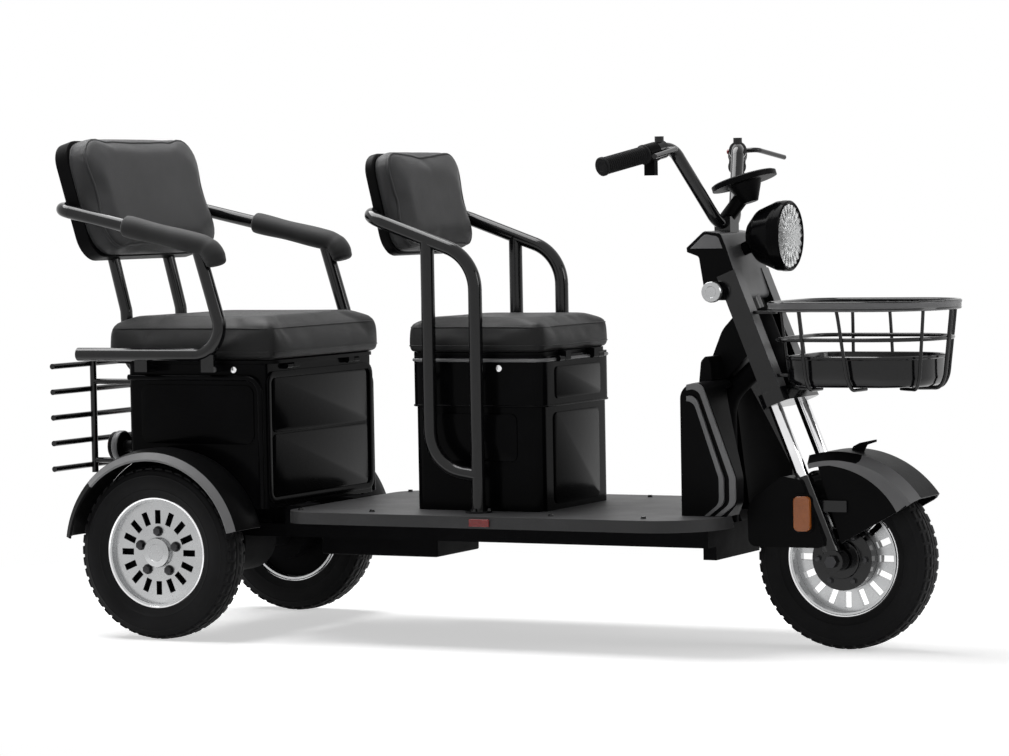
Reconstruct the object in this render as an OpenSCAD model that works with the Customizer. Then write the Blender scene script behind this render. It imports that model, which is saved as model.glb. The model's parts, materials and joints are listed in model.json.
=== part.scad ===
// Three-wheeled electric runabout with two seats, a front basket and a rear rack.
// X points forward, Y to the left, Z up, and the ground is at Z = 0.

/* [Stance] */
// Distance between the front and rear axles
wheelbase = 1400; // [1300:10:1500]
// Distance between the middles of the rear tyres
rear_track = 564; // [540:2:620]
// Forward shift of the wheelbase's middle from the middle of the whole length
middle_shift = 32; // [0:1:60]
/* [Wheels] */
// Outer radius of a tyre
tyre_r = 180; // [170:1:195]
// Width of a tyre
tyre_w = 82; // [70:1:90]
// Outer radius of a rim, where the tyre sits
rim_r = 112; // [105:1:120]
// Width of a rim
rim_w = 60; // [50:1:66]
// Radius of the rear axle's ends
rear_shaft_r = 12; // [10:0.5:14]
// Radius of the front axle
front_shaft_r = 7; // [6:0.5:9]
// Number of slots in a rim
slots = 16; // [10:1:20]
/* [Deck] */
// Height of the deck's top above the axles
deck_rise = 89; // [80:1:110]
// Thickness of the deck
deck_t = 24; // [18:1:30]
// Width of the deck
deck_w = 570; // [500:5:620]
// Distance from the rear axle to the deck's rear edge
deck_rear_gap = 275; // [265:1:300]
// Distance from the deck's front edge to the front axle
deck_front_gap = 190; // [185:1:220]
/* [Front seat] */
// Distance from the rear axle to the middle of the front seat box
front_seat_reach = 669; // [640:1:700]
// Length of the front seat box
front_box_l = 288; // [260:1:310]
// Width of the front seat box
front_box_w = 320; // [290:1:340]
// Height of the front seat box
front_box_h = 311; // [280:1:340]
// Thickness of the seat boxes' walls
box_wall = 6; // [4:0.5:9]
// Length of the front cushion
front_cushion_l = 310; // [280:1:330]
// How much wider than its box the front cushion is
front_cushion_over = 20; // [10:1:30]
// Thickness of the front cushion
front_cushion_h = 66; // [50:1:75]
// Height of the front backrest
front_back_h = 212; // [180:1:230]
// Width of the front backrest
front_back_w = 324; // [290:1:340]
// Lean of the front backrest
front_back_lean = 13; // [8:0.5:18]
// Diameter of the seat tubes
tube_d = 28; // [24:1:32]
// Distance from the front cushion's side to the middle of the side tube
front_tube_gap = 30; // [22:1:45]
/* [Rear seat] */
// Distance from the rear axle forward to the middle of the rear seat box
rear_seat_reach = 54; // [40:1:70]
// Length of the rear seat box
rear_box_l = 330; // [300:1:350]
// Width of the rear seat box
rear_box_w = 460; // [430:1:464]
// Height of the rear seat box
rear_box_h = 296; // [280:1:310]
// How much longer than its box the rear cushion is
rear_cushion_over = 73; // [50:1:76]
// How much wider than its box the rear cushion is
rear_cushion_side = 16; // [0:1:24]
// Thickness of the rear cushion
rear_cushion_h = 86; // [70:1:96]
// Height of the rear backrest
rear_back_h = 256; // [230:1:280]
// Width of the rear backrest
rear_back_w = 460; // [430:1:480]
// Lean of the rear backrest
rear_back_lean = 16.5; // [12:0.5:20]
// Distance from the rear cushion's side to the middle of the side tube
rear_tube_gap = 28; // [24:1:37]
/* [Rack] */
// Number of rack bars
rack_bars = 5; // [3:1:6]
// Distance between the rack bars
rack_pitch = 54; // [45:1:58]
// Length of a rack bar
rack_bar_l = 500; // [440:5:540]
// Diameter of a rack bar
rack_bar_d = 12; // [10:0.5:14]
/* [Steering] */
// Lean of the steering axis from the vertical
rake = 22; // [18:0.5:25]
// Distance of the steering axis ahead of the front axle, at the axle's height
axis_lead = 7; // [4:1:12]
// Distance between the fork legs
leg_gap = 140; // [134:1:150]
// Diameter of the upper fork tubes
leg_d = 26; // [22:1:30]
// Diameter of the lower fork tubes
slider_d = 34; // [31:1:36]
// Diameter of the steering stem
stem_d = 36; // [30:1:40]
// Distance along the axis from the axle's height to the fork crown
crown_s = 342; // [330:1:350]
// Diameter of the handlebar tube
bar_d = 25; // [22:0.5:26]
// Distance between the handlebar's ends
bar_w = 660; // [600:5:700]
/* [Basket] */
// Length of the basket at the rim
basket_l = 346; // [300:1:360]
// Width of the basket at the rim
basket_w = 296; // [260:1:310]
// Diameter of the basket's wires
wire_d = 8; // [6:0.5:10]

/* [Hidden] */
$fn = 48;

// Places that everything hangs on
rear_x = middle_shift - wheelbase / 2;
front_x = middle_shift + wheelbase / 2;
axle_z = tyre_r;
deck_top = axle_z + deck_rise;
deck_bottom = deck_top - deck_t;
deck_rear = rear_x + deck_rear_gap;
deck_front = front_x - deck_front_gap;
shield_rear = deck_front - 95;
running_fit = 0.06;
free_gap = 0.3;
move_gap = 6;

// Rails under the deck and under the rear seat
rail_w = 40;
rail_h = 40;
rail_y = 130;
rear_rail_y = 90;
rear_rail_h = 26;
plate_t = 8;

// Steering axis: its foot at the axle's height, then distances along it
axis_x = front_x + axis_lead;
axis_dir = [-sin(rake), 0, cos(rake)];
function on_axis(s) = [axis_x, 0, axle_z] + s * axis_dir;
module along_axis() {
    translate([axis_x, 0, axle_z]) rotate([0, -rake, 0]) children();
}

// Unit vector, and the angle between two unit vectors
function unit(v) = v / norm(v);
function between(u, v) = acos(max(-1, min(1, u * v)));

// Outline with rounded corners from rows of [x, y, corner radius]
function corner(a, b, c, r, n) =
    let (u = unit(a - b), v = unit(c - b), half = between(u, v) / 2)
    let (centre = b + unit(u + v) * r / sin(half), start = b + u * r / tan(half), rad = start - centre)
    let (side = sign(u[0] * v[1] - u[1] * v[0]), sweep = side * (180 - 2 * half))
    [for (i = [0:n]) let (t = -sweep * i / n)
        centre + [rad[0] * cos(t) - rad[1] * sin(t), rad[0] * sin(t) + rad[1] * cos(t)]];
function xy(p) = [p[0], p[1]];
function rounded(rows, n = 8) =
    let (m = len(rows))
    [for (i = [0:m - 1]) each rows[i][2] > 0
        ? corner(xy(rows[(i + m - 1) % m]), xy(rows[i]), xy(rows[(i + 1) % m]), rows[i][2], n)
        : [xy(rows[i])]];
function box_rows(l, w, r) =
    [[l / 2, w / 2, r], [-l / 2, w / 2, r], [-l / 2, -w / 2, r], [l / 2, -w / 2, r]];

// Plate with rounded upright edges, centred on x and y
module rounded_plate(l, w, h, r) {
    linear_extrude(h) polygon(rounded(box_rows(l, w, r)));
}

// Outline in x and z, pulled along y from y0 to y1
module side_plate(rows, y0, y1) {
    translate([0, y1, 0]) rotate([90, 0, 0]) linear_extrude(y1 - y0) polygon(rounded(rows));
}

// Round bar from p to q
module bar(p, q, d) {
    v = q - p;
    translate(p) rotate([0, acos(v[2] / norm(v)), atan2(v[1], v[0])]) cylinder(h = norm(v), d = d);
}

// Quarter of a ring between two straight stretches of a bent tube
module bend(before, at, after, d, r) {
    u = unit(at - before);
    v = unit(after - at);
    inward = unit(v - (u * v) * u);
    centre = at - r * tan(between(u, v) / 2) * u + r * inward;
    side = cross(-inward, u);
    multmatrix([[-inward[0], u[0], side[0], centre[0]], [-inward[1], u[1], side[1], centre[1]],
        [-inward[2], u[2], side[2], centre[2]], [0, 0, 0, 1]])
        rotate_extrude(angle = between(u, v)) translate([r, 0]) circle(d = d);
}

// Tube through the points, its corners bent to radius r, with a thin weld bead where a bend begins and ends
weld = 0.3;
function bend_r(r, i) = is_list(r) ? r[i] : r;
module bent_tube(points, d, r) {
    last = len(points) - 1;
    cut = [for (i = [0:last]) i == 0 || i == last ? 0
        : bend_r(r, i) * tan(between(unit(points[i] - points[i - 1]), unit(points[i + 1] - points[i])) / 2)];
    for (i = [0:last - 1]) {
        u = unit(points[i + 1] - points[i]);
        bar(points[i] + cut[i] * u, points[i + 1] - cut[i + 1] * u, d);
    }
    for (i = [1:last - 1]) {
        u = unit(points[i] - points[i - 1]);
        v = unit(points[i + 1] - points[i]);
        bend(points[i - 1], points[i], points[i + 1], d, bend_r(r, i));
        bar(points[i] - (cut[i] + 1) * u, points[i] - (cut[i] - 1) * u, d + weld);
        bar(points[i] + (cut[i] - 1) * v, points[i] + (cut[i] + 1) * v, d + weld);
    }
}

// The same thing on the right and the left side
module both_sides() {
    children();
    mirror([0, 1, 0]) children();
}

// Frame: rails under the deck, raised rails under the rear seat, down tube and head tube
head_s0 = crown_s + 24;
head_s1 = crown_s + 180;
head_r = stem_d / 2 + 10;
down_d = 40;
down_x = shield_rear + 31;
rear_rail_top = deck_top;
rear_rail_x0 = rear_x - 125;
rail_x0 = deck_rear - 60;
bracket_l = 28;
bracket_drop = 67;
down_path = [[down_x, 0, deck_bottom - rail_h / 2], [down_x, 0, deck_top + 225], on_axis(crown_s + 90)];
module down_tube(d) {
    bent_tube(down_path, d, 80);
}
module frame() {
    color("dimgray") {
        difference() {
            union() {
                both_sides() {
                    translate([rail_x0, rail_y - rail_w / 2, deck_bottom - rail_h])
                        cube([down_x + 20 - rail_x0, rail_w, rail_h]);
                    translate([rear_rail_x0, rear_rail_y - rail_w / 2, rear_rail_top - rear_rail_h])
                        cube([rail_x0 + rail_w - rear_rail_x0, rail_w, rear_rail_h]);
                    translate([rail_x0, rear_rail_y - rail_w / 2, deck_bottom - rail_h])
                        cube([rail_w, rail_y - rear_rail_y + rail_w, deck_t + rail_h]);
                }
                for (x = [rail_x0 + rail_w, (deck_rear + deck_front) / 2, down_x - 20])
                    translate([x, -rail_y, deck_bottom - rail_h]) cube([rail_w, 2 * rail_y, rail_h]);
                translate([rear_x - 30, -spring_y - 35, deck_top - plate_t])
                    cube([60, 2 * spring_y + 70, plate_t]);
                translate([down_x + 20 - bracket_l, -110, deck_bottom - bracket_drop])
                    cube([bracket_l, 220, bracket_drop]);
                down_tube(down_d);
                along_axis() translate([0, 0, head_s0]) cylinder(r = head_r, h = head_s1 - head_s0);
            }
            along_axis() translate([0, 0, head_s0 - 1])
                cylinder(d = stem_d + 2 * running_fit, h = head_s1 - head_s0 + 2);
        }
    }
}

// Deck: a flat pan with round corners, cut back in the middle for the turning fork
deck_corner = 70;
deck_nose = 130;
sweep_low_r = 200;
module deck() {
    mid = (deck_rear + deck_front) / 2;
    color([0.2, 0.2, 0.21]) difference() {
        translate([0, 0, deck_bottom]) linear_extrude(deck_t) polygon(rounded([
            [deck_front, deck_w / 2, deck_nose], [deck_rear, deck_w / 2, deck_corner],
            [deck_rear, -deck_w / 2, deck_corner], [deck_front, -deck_w / 2, deck_nose]]));
        along_axis() cylinder(r = sweep_low_r, h = 200);
        translate([rail_x0, rear_rail_y - rail_w / 2, deck_bottom - 1])
            cube([rail_w, rail_y - rear_rail_y + rail_w, deck_t + 2]);
        mirror([0, 1, 0]) translate([rail_x0, rear_rail_y - rail_w / 2, deck_bottom - 1])
            cube([rail_w, rail_y - rear_rail_y + rail_w, deck_t + 2]);
        down_groove();
    }
}

// Leg shield: a wedge behind the fork, hollowed for the turning fork, with raised bands along its edges
shield_w = 320;
shield_top = deck_top + 251;
shield_rows = [[0, 0, 0], [0, 251, 30], [47, 266, 20], [118, 76, 30], [118, 26, 20], [95, 0, 0]];
band_rise = 6;
function shield_inset(d) = [[-20, -20, 0], [-20, 251 - d, 0], [47 - 0.5 * d, 266 - d, 20], [118 - d, 76, 30],
    [118 - d, 26, 20], [60 - d, -20, 0]];
module down_groove() {
    slot = down_d + 2;
    translate([down_x, 0, deck_bottom - rail_h]) cylinder(d = down_d + 1, h = 400);
    translate([down_x, -slot / 2, deck_bottom - rail_h]) cube([200, slot, 400]);
}
module shield_band(outer, inner) {
    y = shield_w / 2;
    difference() {
        side_plate(shield_inset(outer), y - 2, y + band_rise);
        side_plate(shield_inset(inner), y - 3, y + band_rise + 1);
        translate([-30, y - 4, -30]) cube([46, band_rise + 6, 400]);
        translate([-30, y - 4, -30]) cube([200, band_rise + 6, 31]);
    }
}
module leg_shield() {
    color([0.12, 0.12, 0.13]) difference() {
        translate([shield_rear, 0, deck_top]) union() {
            side_plate(shield_rows, -shield_w / 2, shield_w / 2);
            both_sides() {
                shield_band(2, 14);
                shield_band(26, 36);
            }
        }
        along_axis() translate([0, 0, 60]) cylinder(r1 = sweep_low_r + 4, r2 = 112, h = 340);
        down_groove();
    }
}

// Neck cover: a curved fairing round the down tube, narrow beside the turning fork legs
neck_w = 50;
neck_foot_w = 170;
function shield_edge(x) = x * (shield_rows[2][1] - shield_rows[1][1]) / shield_rows[2][0];
module neck_cover() {
    neck_rows = [[6, shield_edge(6), 0], [10, 50, 30], [34, 108, 60], [64, 140, 8], [90, 140, 8], [90, 60, 20],
        [44, shield_edge(44), 0]];
    foot_rows = [[8, shield_edge(8), 0], [13, 48, 12], [26, 62, 5], [34, 40, 6], [36, shield_edge(36), 0]];
    color([0.1, 0.1, 0.11]) {
        difference() {
            translate([shield_rear, 0, shield_top]) side_plate(neck_rows, -neck_w / 2, neck_w / 2);
            bar(down_path[1], down_path[2], down_d + 1);
            along_axis() translate([0, 0, crown_s]) cylinder(r = head_r + 0.5, h = 300);
        }
        translate([shield_rear, 0, shield_top]) both_sides()
            side_plate(foot_rows, neck_w / 2 + free_gap, neck_foot_w / 2);
    }
}

// Front seat box: an open bin with a stepped upper band
front_seat_x = rear_x + front_seat_reach;
front_box_top = deck_top + front_box_h;
front_cushion_w = front_box_w + front_cushion_over;
front_tube_y = front_cushion_w / 2 + front_tube_gap;
box_corner = 24;
band_h = 100;
band_out = 5;
module front_seat_box() {
    inner_l = front_box_l - 2 * box_wall;
    inner_w = front_box_w - 2 * box_wall;
    color([0.06, 0.06, 0.065]) translate([front_seat_x, 0, deck_top]) difference() {
        union() {
            rounded_plate(front_box_l, front_box_w, front_box_h, box_corner);
            translate([0, 0, front_box_h - band_h])
                rounded_plate(front_box_l + 2 * band_out, front_box_w + 2 * band_out, band_h, box_corner + band_out);
        }
        translate([0, 0, box_wall])
            rounded_plate(inner_l, inner_w, front_box_h, box_corner - box_wall);
    }
    color([0.06, 0.06, 0.065]) hinge_lugs(front_hinge_x, front_hinge_y, front_box_top);
}

// Front seat tubes: posts on the deck, sloping arms and a hoop behind the backrest
arm_low = deck_top + 508;
arm_high = deck_top + 599;
front_post_x = front_seat_x + 21;
front_brace_x = front_seat_x - 85;
front_back_x = front_seat_x - 150;
front_back_z = deck_top + 525;
arm_bend = 90;
hoop_round = 48;
hoop_out = 3;
front_pad_t = 36;
front_shell_t = 22;
front_hoop_x = front_back_x - (arm_high - front_back_z) * tan(front_back_lean)
    - (front_pad_t + front_shell_t) / cos(front_back_lean) - hoop_out;
function front_arm_z(x) =
    arm_low + (arm_high - arm_low) * (front_post_x - x) / (front_post_x - front_hoop_x);
module front_seat_frame() {
    y = front_tube_y;
    flange_h = 4;
    box_side = front_box_w / 2 + band_out;
    color([0.08, 0.08, 0.08]) difference() {
        union() {
            bent_tube([[front_post_x, -y, deck_top], [front_post_x, -y, arm_low], [front_hoop_x, -y, arm_high],
                [front_hoop_x, y, arm_high], [front_post_x, y, arm_low], [front_post_x, y, deck_top]], tube_d,
                [0, arm_bend, hoop_round, hoop_round, arm_bend, 0]);
            both_sides() {
                bent_tube([[front_brace_x, y, front_arm_z(front_brace_x)], [front_brace_x, y, deck_top + 90],
                    [front_post_x, y, deck_top + 74]], tube_d, 85);
                translate([front_post_x, y, deck_top]) cylinder(d = tube_d * 1.9, h = flange_h);
                for (x = [front_post_x, front_brace_x])
                    bar([x, box_side, front_box_top - 40], [x, y, front_box_top - 40], 14);
            }
        }
        front_back_place() translate([0, 0, -100])
            cube([3 * (front_pad_t + front_shell_t), front_back_w, 4 * front_back_h]);
    }
}

// Front backrest: a pad on a moulded shell, both leaning back
module front_back_place() {
    translate([front_back_x, 0, front_back_z]) rotate([0, -front_back_lean, 0])
        translate([-front_pad_t - front_shell_t, -front_back_w / 2, 0]) children();
}
module back_slab(w, h, x0, x1, r) {
    translate([x0, w / 2, h / 2]) rotate([0, 90, 0]) rounded_plate(h, w, x1 - x0, r);
}
module front_backrest_shell() {
    color([0.1, 0.1, 0.1]) front_back_place()
        back_slab(front_back_w, front_back_h, 0, front_shell_t, 44);
}
module front_backrest_pad() {
    edge = 5;
    color([0.25, 0.25, 0.26]) front_back_place() translate([0, edge, edge])
        back_slab(front_back_w - 2 * edge, front_back_h - 2 * edge, front_shell_t, front_shell_t + front_pad_t, 40);
}

// Seat lids: a board under each cushion, hinged at the front edge of its box
seat_board_t = 7;
board_inset = 8;
hinge_pin_r = 3;
hinge_r = 6;
hinge_out = 7;
hinge_drop = 6.5;
hinge_l = 24;
hinge_side = 1;
lug_in = 2;
front_hinge_x = front_seat_x + front_box_l / 2 + band_out + hinge_out;
rear_seat_x = rear_x + rear_seat_reach;
rear_box_front = rear_seat_x + rear_box_l / 2;
rear_box_rear = rear_seat_x - rear_box_l / 2;
rear_box_top = deck_top + rear_box_h;
rear_hinge_x = rear_box_front + hinge_out;
front_hinge_y = 80;
rear_hinge_y = 130;
module along_y(x, y0, y1, z) {
    translate([x, y1, z]) rotate([90, 0, 0]) linear_extrude(y1 - y0) children();
}
module hinge_lugs(x, y, box_top) {
    both_sides() difference() {
        union() {
            along_y(x, y, y + hinge_l, box_top - hinge_drop) circle(r = hinge_r);
            translate([x - hinge_out - lug_in, y, box_top - hinge_drop - hinge_r])
                cube([hinge_out + lug_in, hinge_l, hinge_r]);
        }
        along_y(x, y - 1, y + hinge_l + 1, box_top - hinge_drop) circle(r = hinge_pin_r + running_fit);
    }
}
module hinge_pins(x, y, box_top) {
    both_sides() {
        along_y(x, y - hinge_l - hinge_side, y + hinge_l, box_top - hinge_drop) circle(r = hinge_pin_r);
        along_y(x, y - hinge_l - hinge_side, y - hinge_side, box_top - hinge_drop) circle(r = hinge_r);
        translate([x - hinge_r, y - hinge_l - hinge_side, box_top - hinge_drop])
            cube([2 * hinge_r, hinge_l, hinge_drop + free_gap + 1]);
    }
}
front_cushion_x = front_seat_x + 4 - 8;
module front_seat_base() {
    l = front_cushion_l - 2 * board_inset;
    reach = front_hinge_x + hinge_r - front_cushion_x;
    color([0.3, 0.3, 0.31]) {
        translate([front_cushion_x, 0, front_box_top + free_gap])
            rounded_plate(l, front_cushion_w - 2 * board_inset, seat_board_t, 30);
        both_sides() translate([front_cushion_x, front_hinge_y - hinge_l - hinge_side, front_box_top + free_gap])
            cube([reach, hinge_l, seat_board_t]);
        hinge_pins(front_hinge_x, front_hinge_y, front_box_top);
    }
}
module front_cushion() {
    color([0.2, 0.2, 0.21]) translate([front_cushion_x, 0, front_box_top + free_gap + seat_board_t])
        rounded_plate(front_cushion_l, front_cushion_w, front_cushion_h, 26);
}
rear_cushion_l = rear_box_l + rear_cushion_over;
rear_cushion_w = rear_box_w + rear_cushion_side;
rear_tube_y = rear_cushion_w / 2 + rear_tube_gap;
rear_cushion_x = rear_hinge_x + 16 - rear_cushion_l / 2;
module rear_seat_base() {
    l = rear_cushion_l - 2 * board_inset;
    reach = rear_hinge_x + hinge_r - rear_cushion_x;
    color([0.3, 0.3, 0.31]) {
        translate([rear_cushion_x, 0, rear_box_top + free_gap])
            rounded_plate(l, rear_cushion_w - 2 * board_inset, seat_board_t, 40);
        both_sides() translate([rear_cushion_x, rear_hinge_y - hinge_l - hinge_side, rear_box_top + free_gap])
            cube([reach, hinge_l, seat_board_t]);
        hinge_pins(rear_hinge_x, rear_hinge_y, rear_box_top);
    }
}
module rear_cushion() {
    color([0.2, 0.2, 0.21]) translate([rear_cushion_x, 0, rear_box_top + free_gap + seat_board_t])
        rounded_plate(rear_cushion_l, rear_cushion_w, rear_cushion_h, 30);
}

// Rear seat box: an open bin that holds the battery
rear_corner = 14;
module rear_seat_box() {
    color([0.06, 0.06, 0.065]) {
        translate([rear_seat_x, 0, deck_top]) difference() {
            rounded_plate(rear_box_l, rear_box_w, rear_box_h, rear_corner);
            translate([0, 0, box_wall]) rounded_plate(rear_box_l - 2 * box_wall, rear_box_w - 2 * box_wall,
                rear_box_h, rear_corner - box_wall);
        }
        hinge_lugs(rear_hinge_x, rear_hinge_y, rear_box_top);
    }
}

// Rear seat tubes: arms round the backrest, posts down to side rails, and two backrest posts
rear_arm_front_x = rear_x + 125;
rear_arm_back_z = deck_top + 621;
rear_back_x = rear_x - 145;
rear_back_z = deck_top + 531;
rear_pad_t = 45;
rear_shell_t = 30;
rear_arm_back_x = rear_back_x - (rear_arm_back_z - rear_back_z) * tan(rear_back_lean)
    - (rear_pad_t + rear_shell_t) / cos(rear_back_lean) - hoop_out;
rear_arm_front_z = deck_top + 536;
rear_post_x = rear_x + 86;
rear_foot_x = rear_x + 156;
side_rail_z = deck_top + 317;
side_rail_end = rear_x - 207;
back_post_y = 110;
back_post_d = 26;
back_post_z = rear_box_top - 17;
hoop_bend = 34;
lug_t = 14;
slip = 0.4;
function rear_arm_z(x) = rear_arm_front_z
    + (rear_arm_back_z - rear_arm_front_z) * (rear_arm_front_x - x) / (rear_arm_front_x - rear_arm_back_x);
module rear_back_posts(d) {
    both_sides() bent_tube([[rear_box_rear, back_post_y, back_post_z],
        [rear_box_rear - 69, back_post_y, back_post_z], [rear_box_rear - 75, back_post_y, rear_back_z - 128],
        [rear_box_rear - 121, back_post_y, rear_back_z + 50]], d, 34);
}
module rear_seat_frame() {
    y = rear_tube_y;
    arm_front = [rear_arm_front_x, y, rear_arm_front_z];
    arm_back = [rear_arm_back_x, y, rear_arm_back_z];
    flip = [[1, 0, 0], [0, -1, 0], [0, 0, 1]];
    color([0.08, 0.08, 0.08]) {
        difference() {
            bent_tube([arm_front, arm_back, flip * arm_back, flip * arm_front], tube_d, hoop_bend);
            rear_back_place() translate([0, 0, -rear_back_h])
                cube([3 * (rear_pad_t + rear_shell_t), rear_back_w, 3 * rear_back_h]);
        }
        both_sides() {
            bent_tube([[rear_post_x, y, rear_arm_z(rear_post_x)], [rear_foot_x, y, side_rail_z],
                [side_rail_end, y, side_rail_z]], tube_d, 58);
            for (x = [rear_seat_x - 120, rear_seat_x + 40])
                {
                    translate([x, rear_box_w / 2, rear_box_top - lug_t - 1])
                        cube([30, y + tube_d / 4 - rear_box_w / 2, lug_t]);
                    translate([x, y - tube_d / 4, rear_box_top - lug_t - 1])
                        cube([30, tube_d / 2, side_rail_z - rear_box_top + lug_t + 1]);
                }
        }
        rear_back_posts(back_post_d);
    }
}

// Foam sleeves on the arms
pad_d = 44;
pad_l = 215;
module rear_arm_pads() {
    back = [rear_arm_back_x, rear_tube_y, rear_arm_back_z];
    front = [rear_arm_front_x, rear_tube_y, rear_arm_front_z];
    along = unit(front - back);
    color([0.07, 0.07, 0.07]) both_sides() difference() {
        bar(front - pad_l * along, front + 8 * along, pad_d);
        bar(front - (pad_l + 1) * along, front, tube_d + slip);
        bar([rear_post_x, rear_tube_y, rear_arm_z(rear_post_x)], [rear_foot_x, rear_tube_y, side_rail_z],
            tube_d + slip);
    }
}

// Rear backrest: a thick pad on a moulded shell that sits on the two posts
module rear_back_place() {
    translate([rear_back_x, 0, rear_back_z]) rotate([0, -rear_back_lean, 0])
        translate([-rear_pad_t - rear_shell_t, -rear_back_w / 2, 0]) children();
}
module rear_backrest_shell() {
    color([0.1, 0.1, 0.1]) difference() {
        rear_back_place() back_slab(rear_back_w, rear_back_h, 0, rear_shell_t, 50);
        rear_back_posts(back_post_d + slip);
    }
}
module rear_backrest_pad() {
    edge = 6;
    color([0.25, 0.25, 0.26]) difference() {
        rear_back_place() translate([0, edge, edge]) back_slab(rear_back_w - 2 * edge, rear_back_h - 2 * edge,
            rear_shell_t, rear_shell_t + rear_pad_t, 46);
        rear_back_posts(back_post_d + slip);
    }
}

// Rear rack: cross bars on two posts, with arms to the back of the seat box
rack_x = rear_x - 284;
rack_z0 = deck_top + 74;
rack_post_y = 108;
rack_post_d = 14;
rack_arm_z = back_post_z - back_post_d / 2 - rack_post_d;
module rack() {
    top = rack_z0 + (rack_bars - 1) * rack_pitch;
    post_x = rack_x + rack_bar_d / 2 + rack_post_d / 2 - 3;
    for (i = [0:rack_bars - 1])
        bar([rack_x, -rack_bar_l / 2, rack_z0 + i * rack_pitch], [rack_x, rack_bar_l / 2, rack_z0 + i * rack_pitch],
            rack_bar_d);
    both_sides() {
        bar([post_x, rack_post_y, rack_z0 - 16], [post_x, rack_post_y, top + 10], rack_post_d);
        for (z = [rack_z0 + 10, rack_arm_z])
            bar([post_x, rack_post_y, z], [rear_box_rear, rack_post_y, z], rack_post_d - 2);
    }
}
module rear_rack() {
    color([0.08, 0.08, 0.08]) rack();
}

// Rear mudguards: crowned shells round the wheels, fixed to the sides of the seat box
guard_gap = 29;
guard_t = 4;
module rear_mudguards() {
    r = tyre_r + guard_gap;
    y_in = rear_box_w / 2;
    y_out = rear_track / 2 + tyre_w / 2 + 17;
    profile = [[r, y_in], [r + 6, y_in + 32], [r + 6, y_out - 40], [r, y_out - 12], [r - 15, y_out],
        [r - 15 - guard_t, y_out - 2], [r - guard_t - 1, y_out - 15], [r + 6 - guard_t, y_out - 41],
        [r + 6 - guard_t, y_in + 32], [r - guard_t, y_in]];
    color([0.13, 0.13, 0.13]) both_sides() translate([rear_x, 0, axle_z]) rotate([90, 0, 0])
        rotate([0, 0, 14]) rotate_extrude(angle = 158) polygon(profile);
}

// Tail lamps on short stalks behind the box
lamp_y = 188;
lamp_z = deck_top + 121;
module tail_lamps() {
    color([0.5, 0.05, 0.05]) both_sides() translate([rear_box_rear, lamp_y, lamp_z]) rotate([0, -90, 0]) {
        cylinder(r = 12, h = 40);
        translate([0, 0, 34]) cylinder(r = 30, h = 28);
    }
}

// Rear axle: tube, motor in the middle, brake drums, trailing arms and the wheels' shafts
axle_tube_r = 30;
motor_r = 68;
motor_w = 128;
spring_y = 172;
spring_r = 24;
drum_r = 62;
drum_w = 44;
wheel_inner = rear_track / 2 - rim_w / 2;
module rear_axle() {
    drum_end = wheel_inner - move_gap;
    arm_w = 24;
    color([0.15, 0.15, 0.16]) {
        translate([rear_x, 0, axle_z]) rotate([90, 0, 0]) {
            cylinder(r = axle_tube_r, h = 2 * (drum_end - drum_w) + 2, center = true);
            cylinder(r = motor_r, h = motor_w, center = true);
            cylinder(r = rear_shaft_r, h = rear_track + rim_w - 24, center = true);
        }
        both_sides() {
            along_y(rear_x, drum_end - drum_w, drum_end, axle_z) circle(r = drum_r);
            translate([rear_x, spring_y, axle_z]) cylinder(r = spring_r, h = axle_tube_r + 4);
            translate([rear_x, rail_y - arm_w / 2, axle_z + 24]) cube([rail_x0 - rear_x, arm_w, 26]);
        }
    }
}
module rear_springs() {
    z0 = axle_z + axle_tube_r + 4;
    z1 = deck_top - plate_t;
    turns = 4;
    wire = 8;
    color([0.2, 0.2, 0.2]) both_sides() translate([rear_x, spring_y, 0]) {
        translate([0, 0, z0]) cylinder(r = spring_r - 8, h = z1 - z0);
        for (i = [0:turns - 1]) translate([0, 0, z0 + (z1 - z0) * (i + 0.5) / turns])
            rotate_extrude() translate([spring_r - wire / 2, 0]) circle(d = wire + 1);
    }
}

// Battery in the rear box and control box under the deck
module battery() {
    color([0.25, 0.3, 0.35]) translate([rear_seat_x - 130, -180, deck_top + box_wall]) cube([260, 360, 170]);
}
module controller_box() {
    h = 40;
    color([0.3, 0.3, 0.3]) translate([rail_x0 + rail_w + 15, -95, deck_bottom - rail_h - h]) cube([270, 190, h]);
}
module deck_reflectors() {
    color([0.6, 0.1, 0.1]) both_sides()
        translate([front_post_x + 22, deck_w / 2, deck_bottom + 4]) cube([44, 4, 15]);
}

// Fork: stem through the head tube, crown, upper tubes and their square covers above the crown
leg_x = -axis_lead * cos(rake);
leg_y = leg_gap / 2;
slider_top_s = 178;
crown_h = 28;
cover_back = 10;
cover_front = 30;
cover_w = 36;
shroud_foot = 508;
upper_s1 = shroud_foot / cos(rake) + 42;
module leg_covers() {
    along_axis() both_sides()
        translate([leg_x - cover_back, leg_y - cover_w / 2, crown_s + crown_h / 2])
            cube([cover_back + cover_front, cover_w, upper_s1 - crown_s]);
}
module fork() {
    color([0.12, 0.12, 0.13]) difference() {
        union() {
            along_axis() {
                translate([0, 0, crown_s - crown_h / 2]) cylinder(d = stem_d, h = upper_s1 - crown_s);
                translate([0, 0, crown_s - crown_h / 2]) rounded_plate(60, leg_gap + 46, crown_h, 20);
                both_sides() translate([leg_x, leg_y, slider_top_s]) cylinder(d = leg_d, h = crown_s - slider_top_s);
            }
            leg_covers();
        }
        shroud_body();
    }
}

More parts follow.
